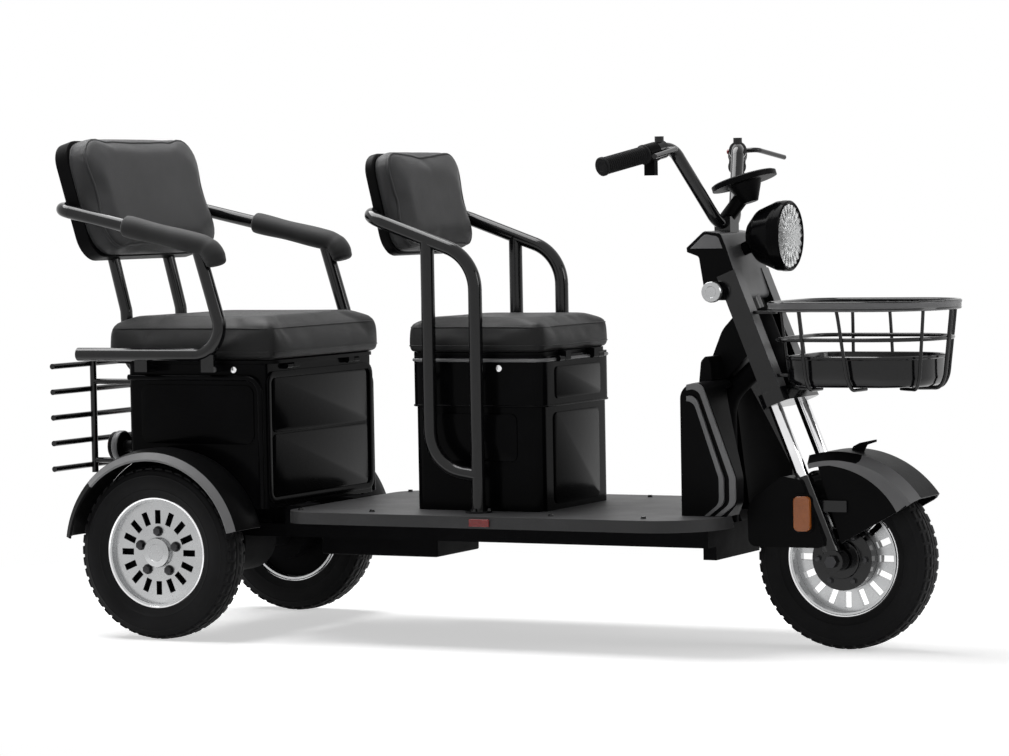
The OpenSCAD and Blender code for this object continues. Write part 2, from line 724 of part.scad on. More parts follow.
// Lower fork tubes with the axle's eyes and the tabs that hold the front fender
eye_r = 22;
eye_half = slider_d / 2 + 1;
tab_y = leg_y + 5;
module slider_bars(d) {
    along_axis() both_sides() translate([leg_x, leg_y, -6]) cylinder(d = d, h = slider_top_s + 6);
}
module fork_sliders() {
    color([0.2, 0.2, 0.21]) difference() {
        union() {
            slider_bars(slider_d);
            both_sides() {
                along_y(front_x, leg_y - eye_half, leg_y + eye_half, axle_z) circle(r = eye_r);
                translate([front_x - 44, tab_y, axle_z + 96]) cube([72, 4, 22]);
            }
        }
        along_y(front_x, -leg_gap, leg_gap, axle_z) circle(r = front_shaft_r + slip / 2);
    }
}

// Covers behind the lower fork tubes, which carry the turn signals
cover_in = leg_y - 10;
cover_out = leg_y + 34;
module fork_covers() {
    rows = [[-4, 27, 14], [-58, 160, 12], [-96, 166, 20], [-170, 112, 46], [-168, 27, 16]];
    color([0.05, 0.05, 0.06]) difference() {
        translate([front_x, 0, axle_z]) both_sides() side_plate(rows, cover_in, cover_out);
        slider_bars(slider_d + slip);
        along_axis() both_sides() translate([leg_x, leg_y, slider_top_s - 1]) cylinder(d = leg_d + slip, h = 60);
    }
}
module turn_signals() {
    rows = [[-68, 60, 10], [-34, 60, 10], [-34, 128, 10], [-68, 128, 10]];
    color([0.85, 0.35, 0.1]) translate([front_x, 0, axle_z]) both_sides()
        side_plate(rows, cover_out, cover_out + 14);
}
module front_axle() {
    nut_r = 13;
    nut_h = 11;
    color([0.6, 0.6, 0.62]) {
        along_y(front_x, -leg_y - eye_half - nut_h, leg_y + eye_half + nut_h, axle_z) circle(r = front_shaft_r);
        both_sides() along_y(front_x, leg_y + eye_half, leg_y + eye_half + nut_h, axle_z) circle(r = nut_r, $fn = 6);
    }
}

// Front fender: a crowned shell over the tyre with side skirts ahead of the fork
fender_gap = 28;
fender_t = 4;
fender_half = leg_y + 5;
fin_rows = [[8, 206, 0], [14, 219, 4], [28, 226, 4], [62, 233, 1.5], [61, 228, 1.5], [42, 222, 6], [34, 206, 0]];
fin_w = 6;
module front_fender() {
    r = tyre_r + fender_gap;
    w = fender_half;
    t = fender_t;
    profile = [[r + 4, -w + 22], [r + 4, w - 22], [r - 12, w], [r - 22, w], [r - 22, w - t], [r - 13, w - t],
        [r + 4 - t, w - 23], [r + 4 - t, -w + 23], [r - 13, -w + t], [r - 22, -w + t], [r - 22, -w], [r - 12, -w]];
    skirt_in = 0.5;
    skirt = concat([[14, 34]], [for (a = [36:8:106]) [(r - 20) * cos(a), (r - 20) * sin(a)]]);
    color([0.13, 0.13, 0.13]) translate([front_x, 0, axle_z]) {
        rotate([90, 0, 0]) rotate([0, 0, 36]) rotate_extrude(angle = 70) polygon(profile);
        both_sides() translate([0, w - skirt_in, 0]) rotate([90, 0, 0])
            linear_extrude(t - 2 * skirt_in) polygon(skirt);
        side_plate(fin_rows, -fin_w / 2, fin_w / 2);
    }
}

// Dash shroud at the head of the fork, and the lock on its side
shroud_w = 170;
shroud_rows = [[-300, 612, 2], [-262, 645, 12], [-226, 640, 10], [-214, 612, 10], [-178, shroud_foot, 10], [-260, shroud_foot, 10],
    [-274, 594, 8], [-299, 603, 2]];
module shroud_body() {
    translate([front_x, 0, axle_z]) side_plate(shroud_rows, -shroud_w / 2, shroud_w / 2);
}
module dash_shroud() {
    color([0.1, 0.1, 0.1]) shroud_body();
}
module column_lock() {
    color([0.75, 0.75, 0.76]) along_y(front_x - 244, -shroud_w / 2 - 24, -shroud_w / 2, axle_z + 526) circle(r = 15);
}

// Handlebar with its clamp on the shroud
bar_end = [front_x - 364, bar_w / 2, axle_z + 773];
bar_corner = [front_x - 292, bar_w / 4, axle_z + 810];
bar_foot = [front_x - 250, 42, axle_z + 660];
bar_dir = unit(bar_end - bar_corner);
bar_bend = 42;
function other(p) = [p[0], -p[1], p[2]];
module bar_tube(d) {
    bent_tube([bar_end, bar_corner, bar_foot, other(bar_foot), other(bar_corner), other(bar_end)], d, bar_bend);
}
module handlebar() {
    color([0.08, 0.08, 0.08]) difference() {
        union() {
            bar_tube(bar_d);
            translate([front_x - 266, -22, axle_z + 620]) cube([34, 44, 52]);
        }
        shroud_body();
    }
}
module on_bar(t) {
    translate(bar_end - t * bar_dir) rotate([0, acos(bar_dir[2]), atan2(bar_dir[1], bar_dir[0])]) children();
}
grip_l = 112;
grip_d = 34;
module grips() {
    color([0.1, 0.1, 0.1]) difference() {
        both_sides() on_bar(grip_l) cylinder(d = grip_d, h = grip_l + 5);
        bar_tube(bar_d + slip);
    }
}
switch_l = 26;
module switch_blocks() {
    color([0.09, 0.09, 0.09]) difference() {
        both_sides() {
            on_bar(grip_l + switch_l + 1) cylinder(d = 38, h = switch_l);
            translate(bar_end - (grip_l + switch_l / 2 + 2) * bar_dir + [-11, -8, -44]) cube([22, 16, 40]);
        }
        bar_tube(bar_d + slip);
    }
}
perch_l = 20;
lever_d = 10;
boss_hole_r = 4;
boss_h = 27;
boss_deep = 13;
module brake_levers() {
    perch = bar_end - (grip_l + switch_l + 2 + perch_l / 2) * bar_dir;
    tip = [front_x - 257, bar_w / 2 - 4, axle_z + 790];
    color([0.1, 0.1, 0.11]) difference() {
        both_sides() {
            on_bar(grip_l + switch_l + 2 + perch_l) cylinder(d = 36, h = perch_l);
            bent_tube([perch, perch + [40, 6, 2], tip], lever_d, 14);
            translate(perch) cylinder(d = 18, h = boss_h);
        }
        bar_tube(bar_d + slip);
        both_sides() translate(perch + [0, 0, boss_h - boss_deep]) cylinder(r = boss_hole_r, h = boss_deep + 1);
    }
}

// Headlamp: a bowl with a clear face, on a stalk from the shroud
lamp_r = 69;
lamp_depth = 84;
lens_r = 63;
lens_t = 10;
module lamp_place() {
    translate([front_x - 115, 0, axle_z + 632]) rotate([0, 90, 0]) children();
}
module headlamp_bowl() {
    rows = [[0, 0, 0], [lamp_r, 0, 5], [lamp_r, -22, 20], [52, -62, 24], [26, -lamp_depth, 12], [0, -lamp_depth, 0]];
    color([0.07, 0.07, 0.07]) difference() {
        union() {
            lamp_place() rotate_extrude() polygon(rounded(rows, 5));
            bar([front_x - 178, 0, axle_z + 622], [front_x - 236, 0, axle_z + 596], 26);
        }
        lamp_place() translate([0, 0, -lens_t + 4]) cylinder(r = lens_r, h = 30);
        shroud_body();
    }
}
module headlamp_lens() {
    color([0.85, 0.87, 0.9]) lamp_place() translate([0, 0, -lens_t + 4]) cylinder(r = lens_r, h = lens_t);
}

// Instrument: a tilted dial on a cone, standing on the clamp
dial_r = 66;
dial_t = 10;
dial_tilt = 17;
module instrument() {
    color([0.09, 0.09, 0.09]) difference() {
        union() {
            translate([front_x - 210, 0, axle_z + 741]) rotate([0, -dial_tilt, 0]) {
                translate([0, 0, -dial_t / 2]) cylinder(r = dial_r, h = dial_t);
                translate([0, 0, -44]) cylinder(r1 = 16, r2 = 36, h = 42);
            }
            bar([front_x - 249, 0, axle_z + 668], [front_x - 206, 0, axle_z + 720], 30);
        }
        bar_tube(bar_d + slip);
        translate([front_x - 266, -22, axle_z + 620]) cube([34, 44, 52]);
    }
}

// Basket: a rim band, a wire ring, ribs and a tray, on stays from the fork
basket_rear = front_x - 121;
basket_x = basket_rear + basket_l / 2;
rim_z = axle_z + 481;
rim_h = 22;
ring_z = axle_z + 432;
tray_z = axle_z + 338;
tray_h = 61;
tray_in = 30;
band_t = 5;
basket_corner = 62;
// Ribs at the ends and along the sides, as shares of the tray's half length and half width
end_ribs = [[1, -0.55], [1, 0.55], [-1, 0.4], [-1, -0.4]];
side_ribs = [[0.5, 1], [-0.5, 1], [0.5, -1], [-0.5, -1]];
module basket() {
    tray_l = basket_l - 2 * tray_in;
    tray_w = basket_w - 2 * tray_in;
    mid = (tray_in / 2) * 0.75;
    color([0.07, 0.07, 0.07]) difference() {
        translate([basket_x, 0, 0]) {
            translate([0, 0, rim_z]) difference() {
                rounded_plate(basket_l, basket_w, rim_h, basket_corner);
                translate([0, 0, -1])
                    rounded_plate(basket_l - 2 * band_t, basket_w - 2 * band_t, rim_h + 2, basket_corner - band_t);
            }
            translate([0, 0, ring_z - wire_d / 2]) difference() {
                rounded_plate(basket_l - 2 * mid, basket_w - 2 * mid, wire_d, basket_corner - 8);
                translate([0, 0, -1]) rounded_plate(basket_l - 2 * mid - 2 * wire_d, basket_w - 2 * mid - 2 * wire_d,
                    wire_d + 2, basket_corner - 8 - wire_d);
            }
            translate([0, 0, tray_z]) difference() {
                rounded_plate(tray_l, tray_w, tray_h, basket_corner - 16);
                translate([0, 0, band_t])
                    rounded_plate(tray_l - 2 * band_t, tray_w - 2 * band_t, tray_h, basket_corner - 16 - band_t);
            }
            for (p = end_ribs)
                bar([p[0] * (tray_l / 2 + 1), p[1] * tray_w / 2, tray_z + 4],
                    [p[0] * (basket_l / 2 - band_t), p[1] * tray_w / 2, rim_z + 4], wire_d);
            for (p = side_ribs)
                bar([p[0] * tray_l / 2, p[1] * (tray_w / 2 + 1), tray_z + 4],
                    [p[0] * tray_l / 2, p[1] * (basket_w / 2 - band_t), rim_z + 4], wire_d);
            both_sides() {
                translate([-basket_l / 2 - 70, leg_y - 8, rim_z]) cube([74, 16, 8]);
                translate([-tray_l / 2 - 60, leg_y - 8, tray_z + 20]) cube([64, 16, 8]);
            }
        }
        leg_covers();
    }
}

// Wheels: tyres, slotted rims and the front hub, each turned about the axle
module tyre(x, y) {
    rows = [[rim_r, -rim_w / 2, 0], [rim_r + 22, -tyre_w / 2, 14], [tyre_r - 16, -tyre_w / 2 + 6, 16],
        [tyre_r, -tyre_w / 4, 10], [tyre_r, tyre_w / 4, 10], [tyre_r - 16, tyre_w / 2 - 6, 16],
        [rim_r + 22, tyre_w / 2, 14], [rim_r, rim_w / 2, 0]];
    color([0.07, 0.07, 0.07]) translate([x, y, axle_z]) rotate([90, 0, 0]) rotate_extrude($fn = 96)
        polygon(rounded(rows, 4));
}
rim_t = 6;
web_t = 9;
slot_w = 13;
module wheel_disc(r_in, r_out, y0, slot_r, slot_l) {
    translate([0, 0, y0]) difference() {
        cylinder(r = r_out, h = web_t);
        translate([0, 0, -1]) cylinder(r = r_in, h = web_t + 2);
        for (i = [0:slots - 1]) rotate([0, 0, i * 360 / slots])
            translate([slot_r, -slot_w / 2, -1]) cube([slot_l, slot_w, web_t + 2]);
    }
}
module rim_barrel() {
    difference() {
        cylinder(r = rim_r, h = rim_w, center = true);
        cylinder(r = rim_r - rim_t, h = rim_w + 2, center = true);
    }
}
hub_r = 30;
module rear_rim(outward) {
    bore_end = rear_track / 2 + rim_w / 2 - 10;
    color([0.8, 0.8, 0.82]) translate([rear_x, outward * rear_track / 2, axle_z]) rotate([-90 * outward, 0, 0])
        difference() {
            union() {
                rim_barrel();
                wheel_disc(0.5, rim_r - rim_t + 1, rim_w / 2 - 20, 0.53 * rim_r, 0.25 * rim_r);
                translate([0, 0, -rim_w / 2]) cylinder(r = hub_r, h = rim_w - 5);
            }
            translate([0, 0, -rim_w]) cylinder(r = rear_shaft_r + running_fit, h = rim_w + rim_w / 2 - 10);
        }
}
front_hub_r = 62;
front_hub_half = 44;
module front_rim() {
    color([0.8, 0.8, 0.82]) translate([front_x, 0, axle_z]) rotate([90, 0, 0]) {
        rim_barrel();
        wheel_disc(front_hub_r, rim_r - rim_t + 1, -web_t / 2, 0.6 * rim_r, 0.28 * rim_r);
    }
}
module front_hub() {
    color([0.1, 0.1, 0.1]) translate([front_x, 0, axle_z]) rotate([90, 0, 0]) difference() {
        union() {
            cylinder(r = front_hub_r, h = 2 * front_hub_half - 16, center = true);
            cylinder(r = front_hub_r - 24, h = 2 * front_hub_half, center = true);
        }
        cylinder(r = front_shaft_r + running_fit, h = 3 * front_hub_half, center = true);
    }
}
module front_tyre() {
    tyre(front_x, 0);
}
module rear_tyre_right() {
    tyre(rear_x, -rear_track / 2);
}
module rear_tyre_left() {
    tyre(rear_x, rear_track / 2);
}
module rear_rim_right() {
    rear_rim(-1);
}
module rear_rim_left() {
    rear_rim(1);
}

frame();
deck();
leg_shield();
neck_cover();
front_seat_box();
front_seat_frame();
front_backrest_shell();
front_backrest_pad();
rear_seat_box();
rear_seat_frame();
rear_arm_pads();
rear_backrest_shell();
rear_backrest_pad();
rear_rack();
rear_mudguards();
tail_lamps();
rear_axle();
rear_springs();
battery();
controller_box();
deck_reflectors();
front_seat_base();
front_cushion();
rear_seat_base();
rear_cushion();
fork();
fork_sliders();
fork_covers();
front_axle();
handlebar();
grips();
brake_levers();
switch_blocks();
headlamp_bowl();
headlamp_lens();
instrument();
dash_shroud();
column_lock();
front_fender();
turn_signals();
basket();
front_tyre();
front_rim();
front_hub();
rear_tyre_right();
rear_rim_right();
rear_tyre_left();
rear_rim_left();
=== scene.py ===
"""Electric tricycle: looks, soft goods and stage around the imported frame."""
import json
import math

import bmesh
import bpy
from mathutils import Matrix, Vector
from mathutils.bvhtree import BVHTree


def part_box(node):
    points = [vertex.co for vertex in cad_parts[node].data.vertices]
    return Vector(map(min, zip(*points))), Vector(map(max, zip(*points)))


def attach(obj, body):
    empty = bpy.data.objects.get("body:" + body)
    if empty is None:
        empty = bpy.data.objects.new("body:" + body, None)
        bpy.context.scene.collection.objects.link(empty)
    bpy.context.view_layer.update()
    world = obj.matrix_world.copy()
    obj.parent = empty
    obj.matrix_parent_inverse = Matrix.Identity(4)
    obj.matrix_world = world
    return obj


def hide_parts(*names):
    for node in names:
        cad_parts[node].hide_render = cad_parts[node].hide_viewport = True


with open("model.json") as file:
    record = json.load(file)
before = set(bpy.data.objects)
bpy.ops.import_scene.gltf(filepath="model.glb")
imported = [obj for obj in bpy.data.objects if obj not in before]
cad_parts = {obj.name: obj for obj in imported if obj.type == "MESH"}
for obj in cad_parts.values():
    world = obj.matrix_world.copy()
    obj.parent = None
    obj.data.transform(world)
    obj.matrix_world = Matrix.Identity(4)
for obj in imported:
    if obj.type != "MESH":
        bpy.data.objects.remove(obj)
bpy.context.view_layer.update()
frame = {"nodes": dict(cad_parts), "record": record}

bl_info = {
    "name": "Electric Tricycle",
    "version": (1, 0, 0),
    "blender": (4, 5, 0),
    "location": "View3D > Sidebar > Tricycle",
    "description": "Dresses the tricycle's frame with paint, plastic, vinyl, rubber and lamps",
    "category": "Object",
}

NODES = frame["nodes"]
BODY_OF = {node: body for body, members in frame["record"]["behaviour"]["bodies"].items() for node in members}


def colour_of(name, description, default):
    """Property that holds a colour"""
    return bpy.props.FloatVectorProperty(name=name, description=description, subtype="COLOR", size=3, min=0, max=1,
        default=default)


def size_of(name, description, default):
    """Property that holds a length in metres"""
    return bpy.props.FloatProperty(name=name, description=description, unit="LENGTH", precision=4, min=0,
        default=default)


class TricycleFinish(bpy.types.PropertyGroup):
    """Colours of the tricycle's surfaces"""
    paint: colour_of("Gloss Paint", "Colour of the tubes and seat bins", (0.004, 0.004, 0.0045))
    plastic: colour_of("Satin Plastic", "Colour of guards and shrouds", (0.0045, 0.0045, 0.0048))
    deck: colour_of("Deck", "Colour of the foot deck", (0.027, 0.027, 0.028))
    vinyl: colour_of("Backrest Vinyl", "Colour of the backrests", (0.034, 0.034, 0.0353))
    seat_vinyl: colour_of("Seat Vinyl", "Colour of the seats", (0.0075, 0.0075, 0.0078))
    foam: colour_of("Foam", "Colour of the arm sleeves", (0.009, 0.009, 0.0095))
    rubber: colour_of("Rubber", "Colour of tyres and grips", (0.0075, 0.0075, 0.008))
    # Pale grey of trim bands, also used as painted highlights on black parts
    trim: colour_of("Trim", "Colour of the pale bands on guards and shrouds", (0.20, 0.20, 0.204))
    alloy: colour_of("Alloy", "Colour of the wheel discs", (0.46, 0.465, 0.47))
    amber: colour_of("Turn Signals", "Colour of the turn signal lenses", (0.62, 0.17, 0.03))
    red: colour_of("Tail Lamps", "Colour of the tail lamps and side reflectors", (0.32, 0.012, 0.012))


class TricycleSizes(bpy.types.PropertyGroup):
    """Sizes of the trim that the scene adds"""
    tread_blocks: bpy.props.IntProperty(name="Tread Blocks", description="Blocks in each row of a tyre's tread",
        default=46, min=12, max=90)
    dial_ticks: bpy.props.IntProperty(name="Dial Ticks", description="Ticks round the dial", default=36, min=4, max=90)
    seat_welt: size_of("Seat Welt", "Radius of the welts on the seats", 0.0016)
    back_welt: size_of("Backrest Piping", "Radius of the piping on the backrests", 0.0027)
    basket_wire: size_of("Basket Wire", "Radius of the basket's ribs", 0.0034)
    basket_ring: size_of("Basket Ring", "Radius of the basket's middle ring", 0.0040)
    wheel_bolt: size_of("Wheel Bolts", "Width across flats of the rear wheels' bolts", 0.015)
    hub_bolt: size_of("Hub Bolts", "Width across flats of the front hub's bolts", 0.010)
    deck_bolt: size_of("Deck Bolts", "Width across flats of the deck's bolts", 0.0085)


class TricycleStage(bpy.types.PropertyGroup):
    """Camera and light"""
    focal_pixels: bpy.props.FloatProperty(name="Focal Length", description="Focal length in pixels of the photo",
        default=3690.0, min=500.0)
    camera_place: bpy.props.FloatVectorProperty(name="Camera", description="Place of the camera",
        subtype="XYZ", unit="LENGTH", size=3, default=(3.358, -6.752, 0.893))
    camera_aim: bpy.props.FloatVectorProperty(name="Aim", description="Direction that the camera looks in",
        subtype="XYZ", size=3, default=(-0.4464, 0.8935, -0.0483))
    camera_roll: bpy.props.FloatProperty(name="Roll", description="Roll of the camera",
        subtype="ANGLE", default=math.radians(-1.0))
    overhead_power: bpy.props.FloatProperty(name="Overhead Lamp", description="Power of the lamp overhead",
        unit="POWER", default=150.0, min=0)
    front_power: bpy.props.FloatProperty(name="Front Lamp", description="Power of the lamp in front",
        unit="POWER", default=34.0, min=0)


PHOTO_W = 1009
SENSOR_MM = 36.0


def finish_props():
    return bpy.context.scene.tricycle_finish


def size_props():
    return bpy.context.scene.tricycle_sizes


def stage_props():
    return bpy.context.scene.tricycle_stage


# Materials. The loaded frame already holds plain ones named for its slots, so these have a prefix.

FINISH_PREFIX = "dressed_"


def new_material(name):
    """Empty material with a principled shader, its node tree and that shader"""
    mat = bpy.data.materials.new(FINISH_PREFIX + name)
    mat.use_nodes = True
    tree = mat.node_tree
    return mat, tree, tree.nodes["Principled BSDF"]


def object_coords(tree, scale=(1, 1, 1)):
    """Object coordinates through a Mapping node"""
    coords = tree.nodes.new("ShaderNodeTexCoord")
    mapping = tree.nodes.new("ShaderNodeMapping")
    mapping.inputs["Scale"].default_value = scale
    tree.links.new(coords.outputs["Object"], mapping.inputs["Vector"])
    return mapping.outputs["Vector"]


def noise(tree, vector, scale, detail=3.0, rough=0.5):
    """Noise texture's value"""
    tex = tree.nodes.new("ShaderNodeTexNoise")
    tex.inputs["Scale"].default_value = scale
    tex.inputs["Detail"].default_value = detail
    tex.inputs["Roughness"].default_value = rough
    tree.links.new(vector, tex.inputs["Vector"])
    return tex.outputs["Fac"]


def ramp(tree, value, stops):
    """Colour ramp on a value, from (place, colour) stops"""
    node = tree.nodes.new("ShaderNodeValToRGB")
    elements = node.color_ramp.elements
    elements[0].position, elements[0].color = stops[0][0], (*stops[0][1], 1)
    elements[1].position, elements[1].color = stops[-1][0], (*stops[-1][1], 1)
    for place, colour in stops[1:-1]:
        elements.new(place).color = (*colour, 1)
    tree.links.new(value, node.inputs["Fac"])
    return node.outputs["Color"]


def spread(tree, value, low, high):
    """Value mapped from 0..1 to low..high"""
    node = tree.nodes.new("ShaderNodeMapRange")
    node.inputs["To Min"].default_value = low
    node.inputs["To Max"].default_value = high
    tree.links.new(value, node.inputs["Value"])
    return node.outputs["Result"]


def bump(tree, shader, height, strength, distance):
    """Bump from a height onto the shader's normal"""
    node = tree.nodes.new("ShaderNodeBump")
    node.inputs["Strength"].default_value = strength
    node.inputs["Distance"].default_value = distance
    tree.links.new(height, node.inputs["Height"])
    tree.links.new(node.outputs["Normal"], shader.inputs["Normal"])


def scaled(colour, factor):
    """Colour made lighter or darker"""
    return tuple(min(1.0, part * factor) for part in colour)


def grained_material(name, colour, rough, grain_scale, grain_depth, spread_by, rough_by, gloss):
    """Moulded or painted surface: mottled colour, uneven polish and a fine grain"""
    mat, tree, shader = new_material(name)
    where = object_coords(tree)
    mottle = noise(tree, where, 9.0, 4.0)
    tree.links.new(ramp(tree, mottle, [(0.3, scaled(colour, 1 - spread_by)), (0.7, scaled(colour, 1 + spread_by))]),
        shader.inputs["Base Color"])
    tree.links.new(spread(tree, noise(tree, where, 22.0, 5.0, 0.6), rough - rough_by, rough + rough_by),
        shader.inputs["Roughness"])
    bump(tree, shader, noise(tree, where, grain_scale, 2.0), 0.35, grain_depth)
    shader.inputs["Specular IOR Level"].default_value = gloss
    return mat


def gloss_paint():
    """Sprayed gloss black of the seat bins"""
    return grained_material("gloss_paint", finish_props().paint, rough=0.16, grain_scale=60.0, grain_depth=0.0002,
        spread_by=0.3, rough_by=0.05, gloss=0.03)


def tube_paint():
    """Powder coat of the tubes, with long soft scuffs"""
    mat, tree, shader = new_material("tube_paint")
    where = object_coords(tree)
    along = object_coords(tree, (3, 40, 3))
    colour = finish_props().paint
    tree.links.new(ramp(tree, noise(tree, along, 12.0, 4.0), [(0.35, colour), (0.7, scaled(colour, 2.0))]),
        shader.inputs["Base Color"])
    tree.links.new(spread(tree, noise(tree, where, 30.0, 4.0), 0.08, 0.17), shader.inputs["Roughness"])
    bump(tree, shader, noise(tree, where, 420.0, 2.0), 0.12, 0.0003)
    shader.inputs["Specular IOR Level"].default_value = 0.34
    return mat


def undercoat():
    """Dull black of the frame and axle under the deck"""
    return grained_material("undercoat", finish_props().paint, rough=0.6, grain_scale=260.0, grain_depth=0.0006,
        spread_by=0.3, rough_by=0.1, gloss=0.04)


def satin_plastic():
    """Moulded plastic of guards and shrouds, with a fine spark grain"""
    return grained_material("satin_plastic", finish_props().plastic, rough=0.4, grain_scale=900.0, grain_depth=0.0002,
        spread_by=0.2, rough_by=0.07, gloss=0.035)


def pale_trim_and_highlight():
    """Lighter grey plastic of trim bands, also a painted highlight on lips and on the tops and forward faces of black
    parts
    """
    return grained_material("pale_trim_and_highlight", finish_props().trim, rough=0.36, grain_scale=900.0, grain_depth=0.0002,
        spread_by=0.15, rough_by=0.07, gloss=0.3)


def deck_plastic():
    """Pebbled foot deck with worn, dusty patches"""
    mat, tree, shader = new_material("deck_plastic")
    where = object_coords(tree)
    colour = finish_props().deck
    tree.links.new(ramp(tree, noise(tree, where, 7.0, 6.0, 0.6),
        [(0.3, scaled(colour, 0.75)), (0.55, colour), (0.75, scaled(colour, 1.5))]), shader.inputs["Base Color"])
    tree.links.new(spread(tree, noise(tree, where, 14.0, 4.0), 0.42, 0.62), shader.inputs["Roughness"])
    pebbles = tree.nodes.new("ShaderNodeTexVoronoi")
    pebbles.inputs["Scale"].default_value = 420.0
    tree.links.new(where, pebbles.inputs["Vector"])
    bump(tree, shader, pebbles.outputs["Distance"], 0.35, 0.0006)
    shader.inputs["Specular IOR Level"].default_value = 0.3
    return mat


def upholstery(name, colour, specular):
    """Upholstery vinyl: leather-like cells, soft sheen and rubbed places"""
    mat, tree, shader = new_material(name)
    where = object_coords(tree)
    rub = noise(tree, where, 6.0, 5.0, 0.55)
    tree.links.new(ramp(tree, rub, [(0.3, scaled(colour, 0.8)), (0.55, colour), (0.8, scaled(colour, 1.35))]),
        shader.inputs["Base Color"])
    tree.links.new(spread(tree, noise(tree, where, 18.0, 4.0), 0.4, 0.58), shader.inputs["Roughness"])
    cells = tree.nodes.new("ShaderNodeTexVoronoi")
    cells.feature = "DISTANCE_TO_EDGE"
    cells.inputs["Scale"].default_value = 330.0
    tree.links.new(where, cells.inputs["Vector"])
    pores = tree.nodes.new("ShaderNodeMath")
    pores.operation = "MINIMUM"
    pores.inputs[1].default_value = 0.12
    tree.links.new(cells.outputs["Distance"], pores.inputs[0])
    bump(tree, shader, pores.outputs[0], 0.5, 0.003)
    shader.inputs["Specular IOR Level"].default_value = specular
    shader.inputs["Sheen Weight"].default_value = 0.06
    shader.inputs["Sheen Roughness"].default_value = 0.4
    return mat


def back_vinyl():
    """Vinyl of the backrests"""
    return upholstery("back_vinyl", finish_props().vinyl, 0.22)


def seat_vinyl():
    """Vinyl of the seats, darker than the backrests'"""
    return upholstery("seat_vinyl", finish_props().seat_vinyl, 0.2)


def foam():
    """Closed-cell foam sleeve"""
    mat = grained_material("foam", finish_props().foam, rough=0.7, grain_scale=700.0, grain_depth=0.0012,
        spread_by=0.35, rough_by=0.08, gloss=0.3)
    shader = mat.node_tree.nodes["Principled BSDF"]
    shader.inputs["Sheen Weight"].default_value = 0.15
    return mat


def rubber():
    """Tyre and grip rubber, dusty in patches"""
    return grained_material("rubber", finish_props().rubber, rough=0.58, grain_scale=320.0, grain_depth=0.0006,
        spread_by=0.4, rough_by=0.1, gloss=0.1)


def metal(name, colour, low, high, scale):
    """Bare or lacquered metal with uneven polish, its roughness from low to high"""
    mat, tree, shader = new_material(name)
    where = object_coords(tree)
    tree.links.new(ramp(tree, noise(tree, where, scale, 4.0), [(0.3, scaled(colour, 0.86)), (0.7, colour)]),
        shader.inputs["Base Color"])
    tree.links.new(spread(tree, noise(tree, where, scale * 3, 4.0), low, high), shader.inputs["Roughness"])
    bump(tree, shader, noise(tree, where, scale * 20, 2.0), 0.08, 0.0003)
    shader.inputs["Metallic"].default_value = 1.0
    return mat


def alloy():
    """Silver lacquered wheel alloy"""
    return metal("alloy", finish_props().alloy, low=0.2, high=0.34, scale=14.0)


def steel():
    """Dark plated steel"""
    return metal("steel", (0.045, 0.045, 0.047), low=0.25, high=0.42, scale=30.0)


def chrome():
    """Bright plating"""
    return metal("chrome", (0.86, 0.86, 0.87), low=0.05, high=0.14, scale=20.0)


def lens_material(name, colour, transmission, prism, depth=0.3):
    """Moulded lens with a prism pattern behind its face"""
    mat, tree, shader = new_material(name)
    where = object_coords(tree)
    tree.links.new(ramp(tree, noise(tree, where, 25.0), [(0.3, scaled(colour, 0.8)), (0.7, colour)]),
        shader.inputs["Base Color"])
    tree.links.new(spread(tree, noise(tree, where, 40.0), 0.05, 0.14), shader.inputs["Roughness"])
    prisms = tree.nodes.new("ShaderNodeTexVoronoi")
    prisms.inputs["Scale"].default_value = prism
    tree.links.new(where, prisms.inputs["Vector"])
    bump(tree, shader, prisms.outputs["Distance"], depth, 0.002)
    shader.inputs["Transmission Weight"].default_value = transmission
    shader.inputs["IOR"].default_value = 1.49
    return mat


def clear_lens():
    """Clear lens of the headlamp"""
    return lens_material("clear_lens", (0.97, 0.98, 0.98), transmission=0.95, prism=60.0, depth=0.1)


def amber_lens():
    """Lens of the turn signals"""
    return lens_material("amber_lens", finish_props().amber, transmission=0.25, prism=160.0)


def red_lens():
    """Lens of the tail lamps and reflectors"""
    return lens_material("red_lens", finish_props().red, transmission=0.25, prism=180.0)


MAKERS = {make.__name__: make for make in (
    gloss_paint, tube_paint, undercoat, satin_plastic, pale_trim_and_highlight, deck_plastic, back_vinyl, seat_vinyl,
    foam, rubber, alloy, steel, chrome, clear_lens, amber_lens, red_lens)}


def finish(name):
    """Material of that name, made on its first use"""
    return bpy.data.materials.get(FINISH_PREFIX + name) or MAKERS[name]()


# Mesh helpers

WELD = 2e-5
FLAT = math.radians(1.0)
SHARP = math.radians(40)


def link(name, mesh):
    """New object for a mesh"""
    obj = bpy.data.objects.new(name, mesh)
    bpy.context.scene.collection.objects.link(obj)
    return obj


def mesh_from(bm, name):
    """Mesh out of a bmesh, which is freed"""
    mesh = bpy.data.meshes.new(name)
    bm.to_mesh(mesh)
    bm.free()
    return mesh


def baked(obj):
    """Turns the object's modifiers into plain mesh"""
    graph = bpy.context.evaluated_depsgraph_get()
    mesh = bpy.data.meshes.new_from_object(obj.evaluated_get(graph))
    obj.modifiers.clear()
    obj.data = mesh
    return obj


def smooth(mesh, degrees=35):
    """Smooth shading, with edges sharper than the angle kept"""
    mesh.shade_smooth()
    mesh.set_sharp_from_angle(angle=math.radians(degrees))


def fit(obj, body, slot, material, *nodes):
    """Gives a piece its material and its body, and hides the nodes that it stands for; the slot is not used"""
    obj.data.materials.clear()
    obj.data.materials.append(finish(material))
    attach(obj, body)
    if nodes:
        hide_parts(*nodes)
    return obj


def piece(name, meshes, degrees, body, slot, material, *nodes):
    """Piece out of several meshes, its edges sharper than an angle kept"""
    obj = joined(name, meshes)
    smooth(obj.data, degrees)
    return fit(obj, body, slot, material, *nodes)


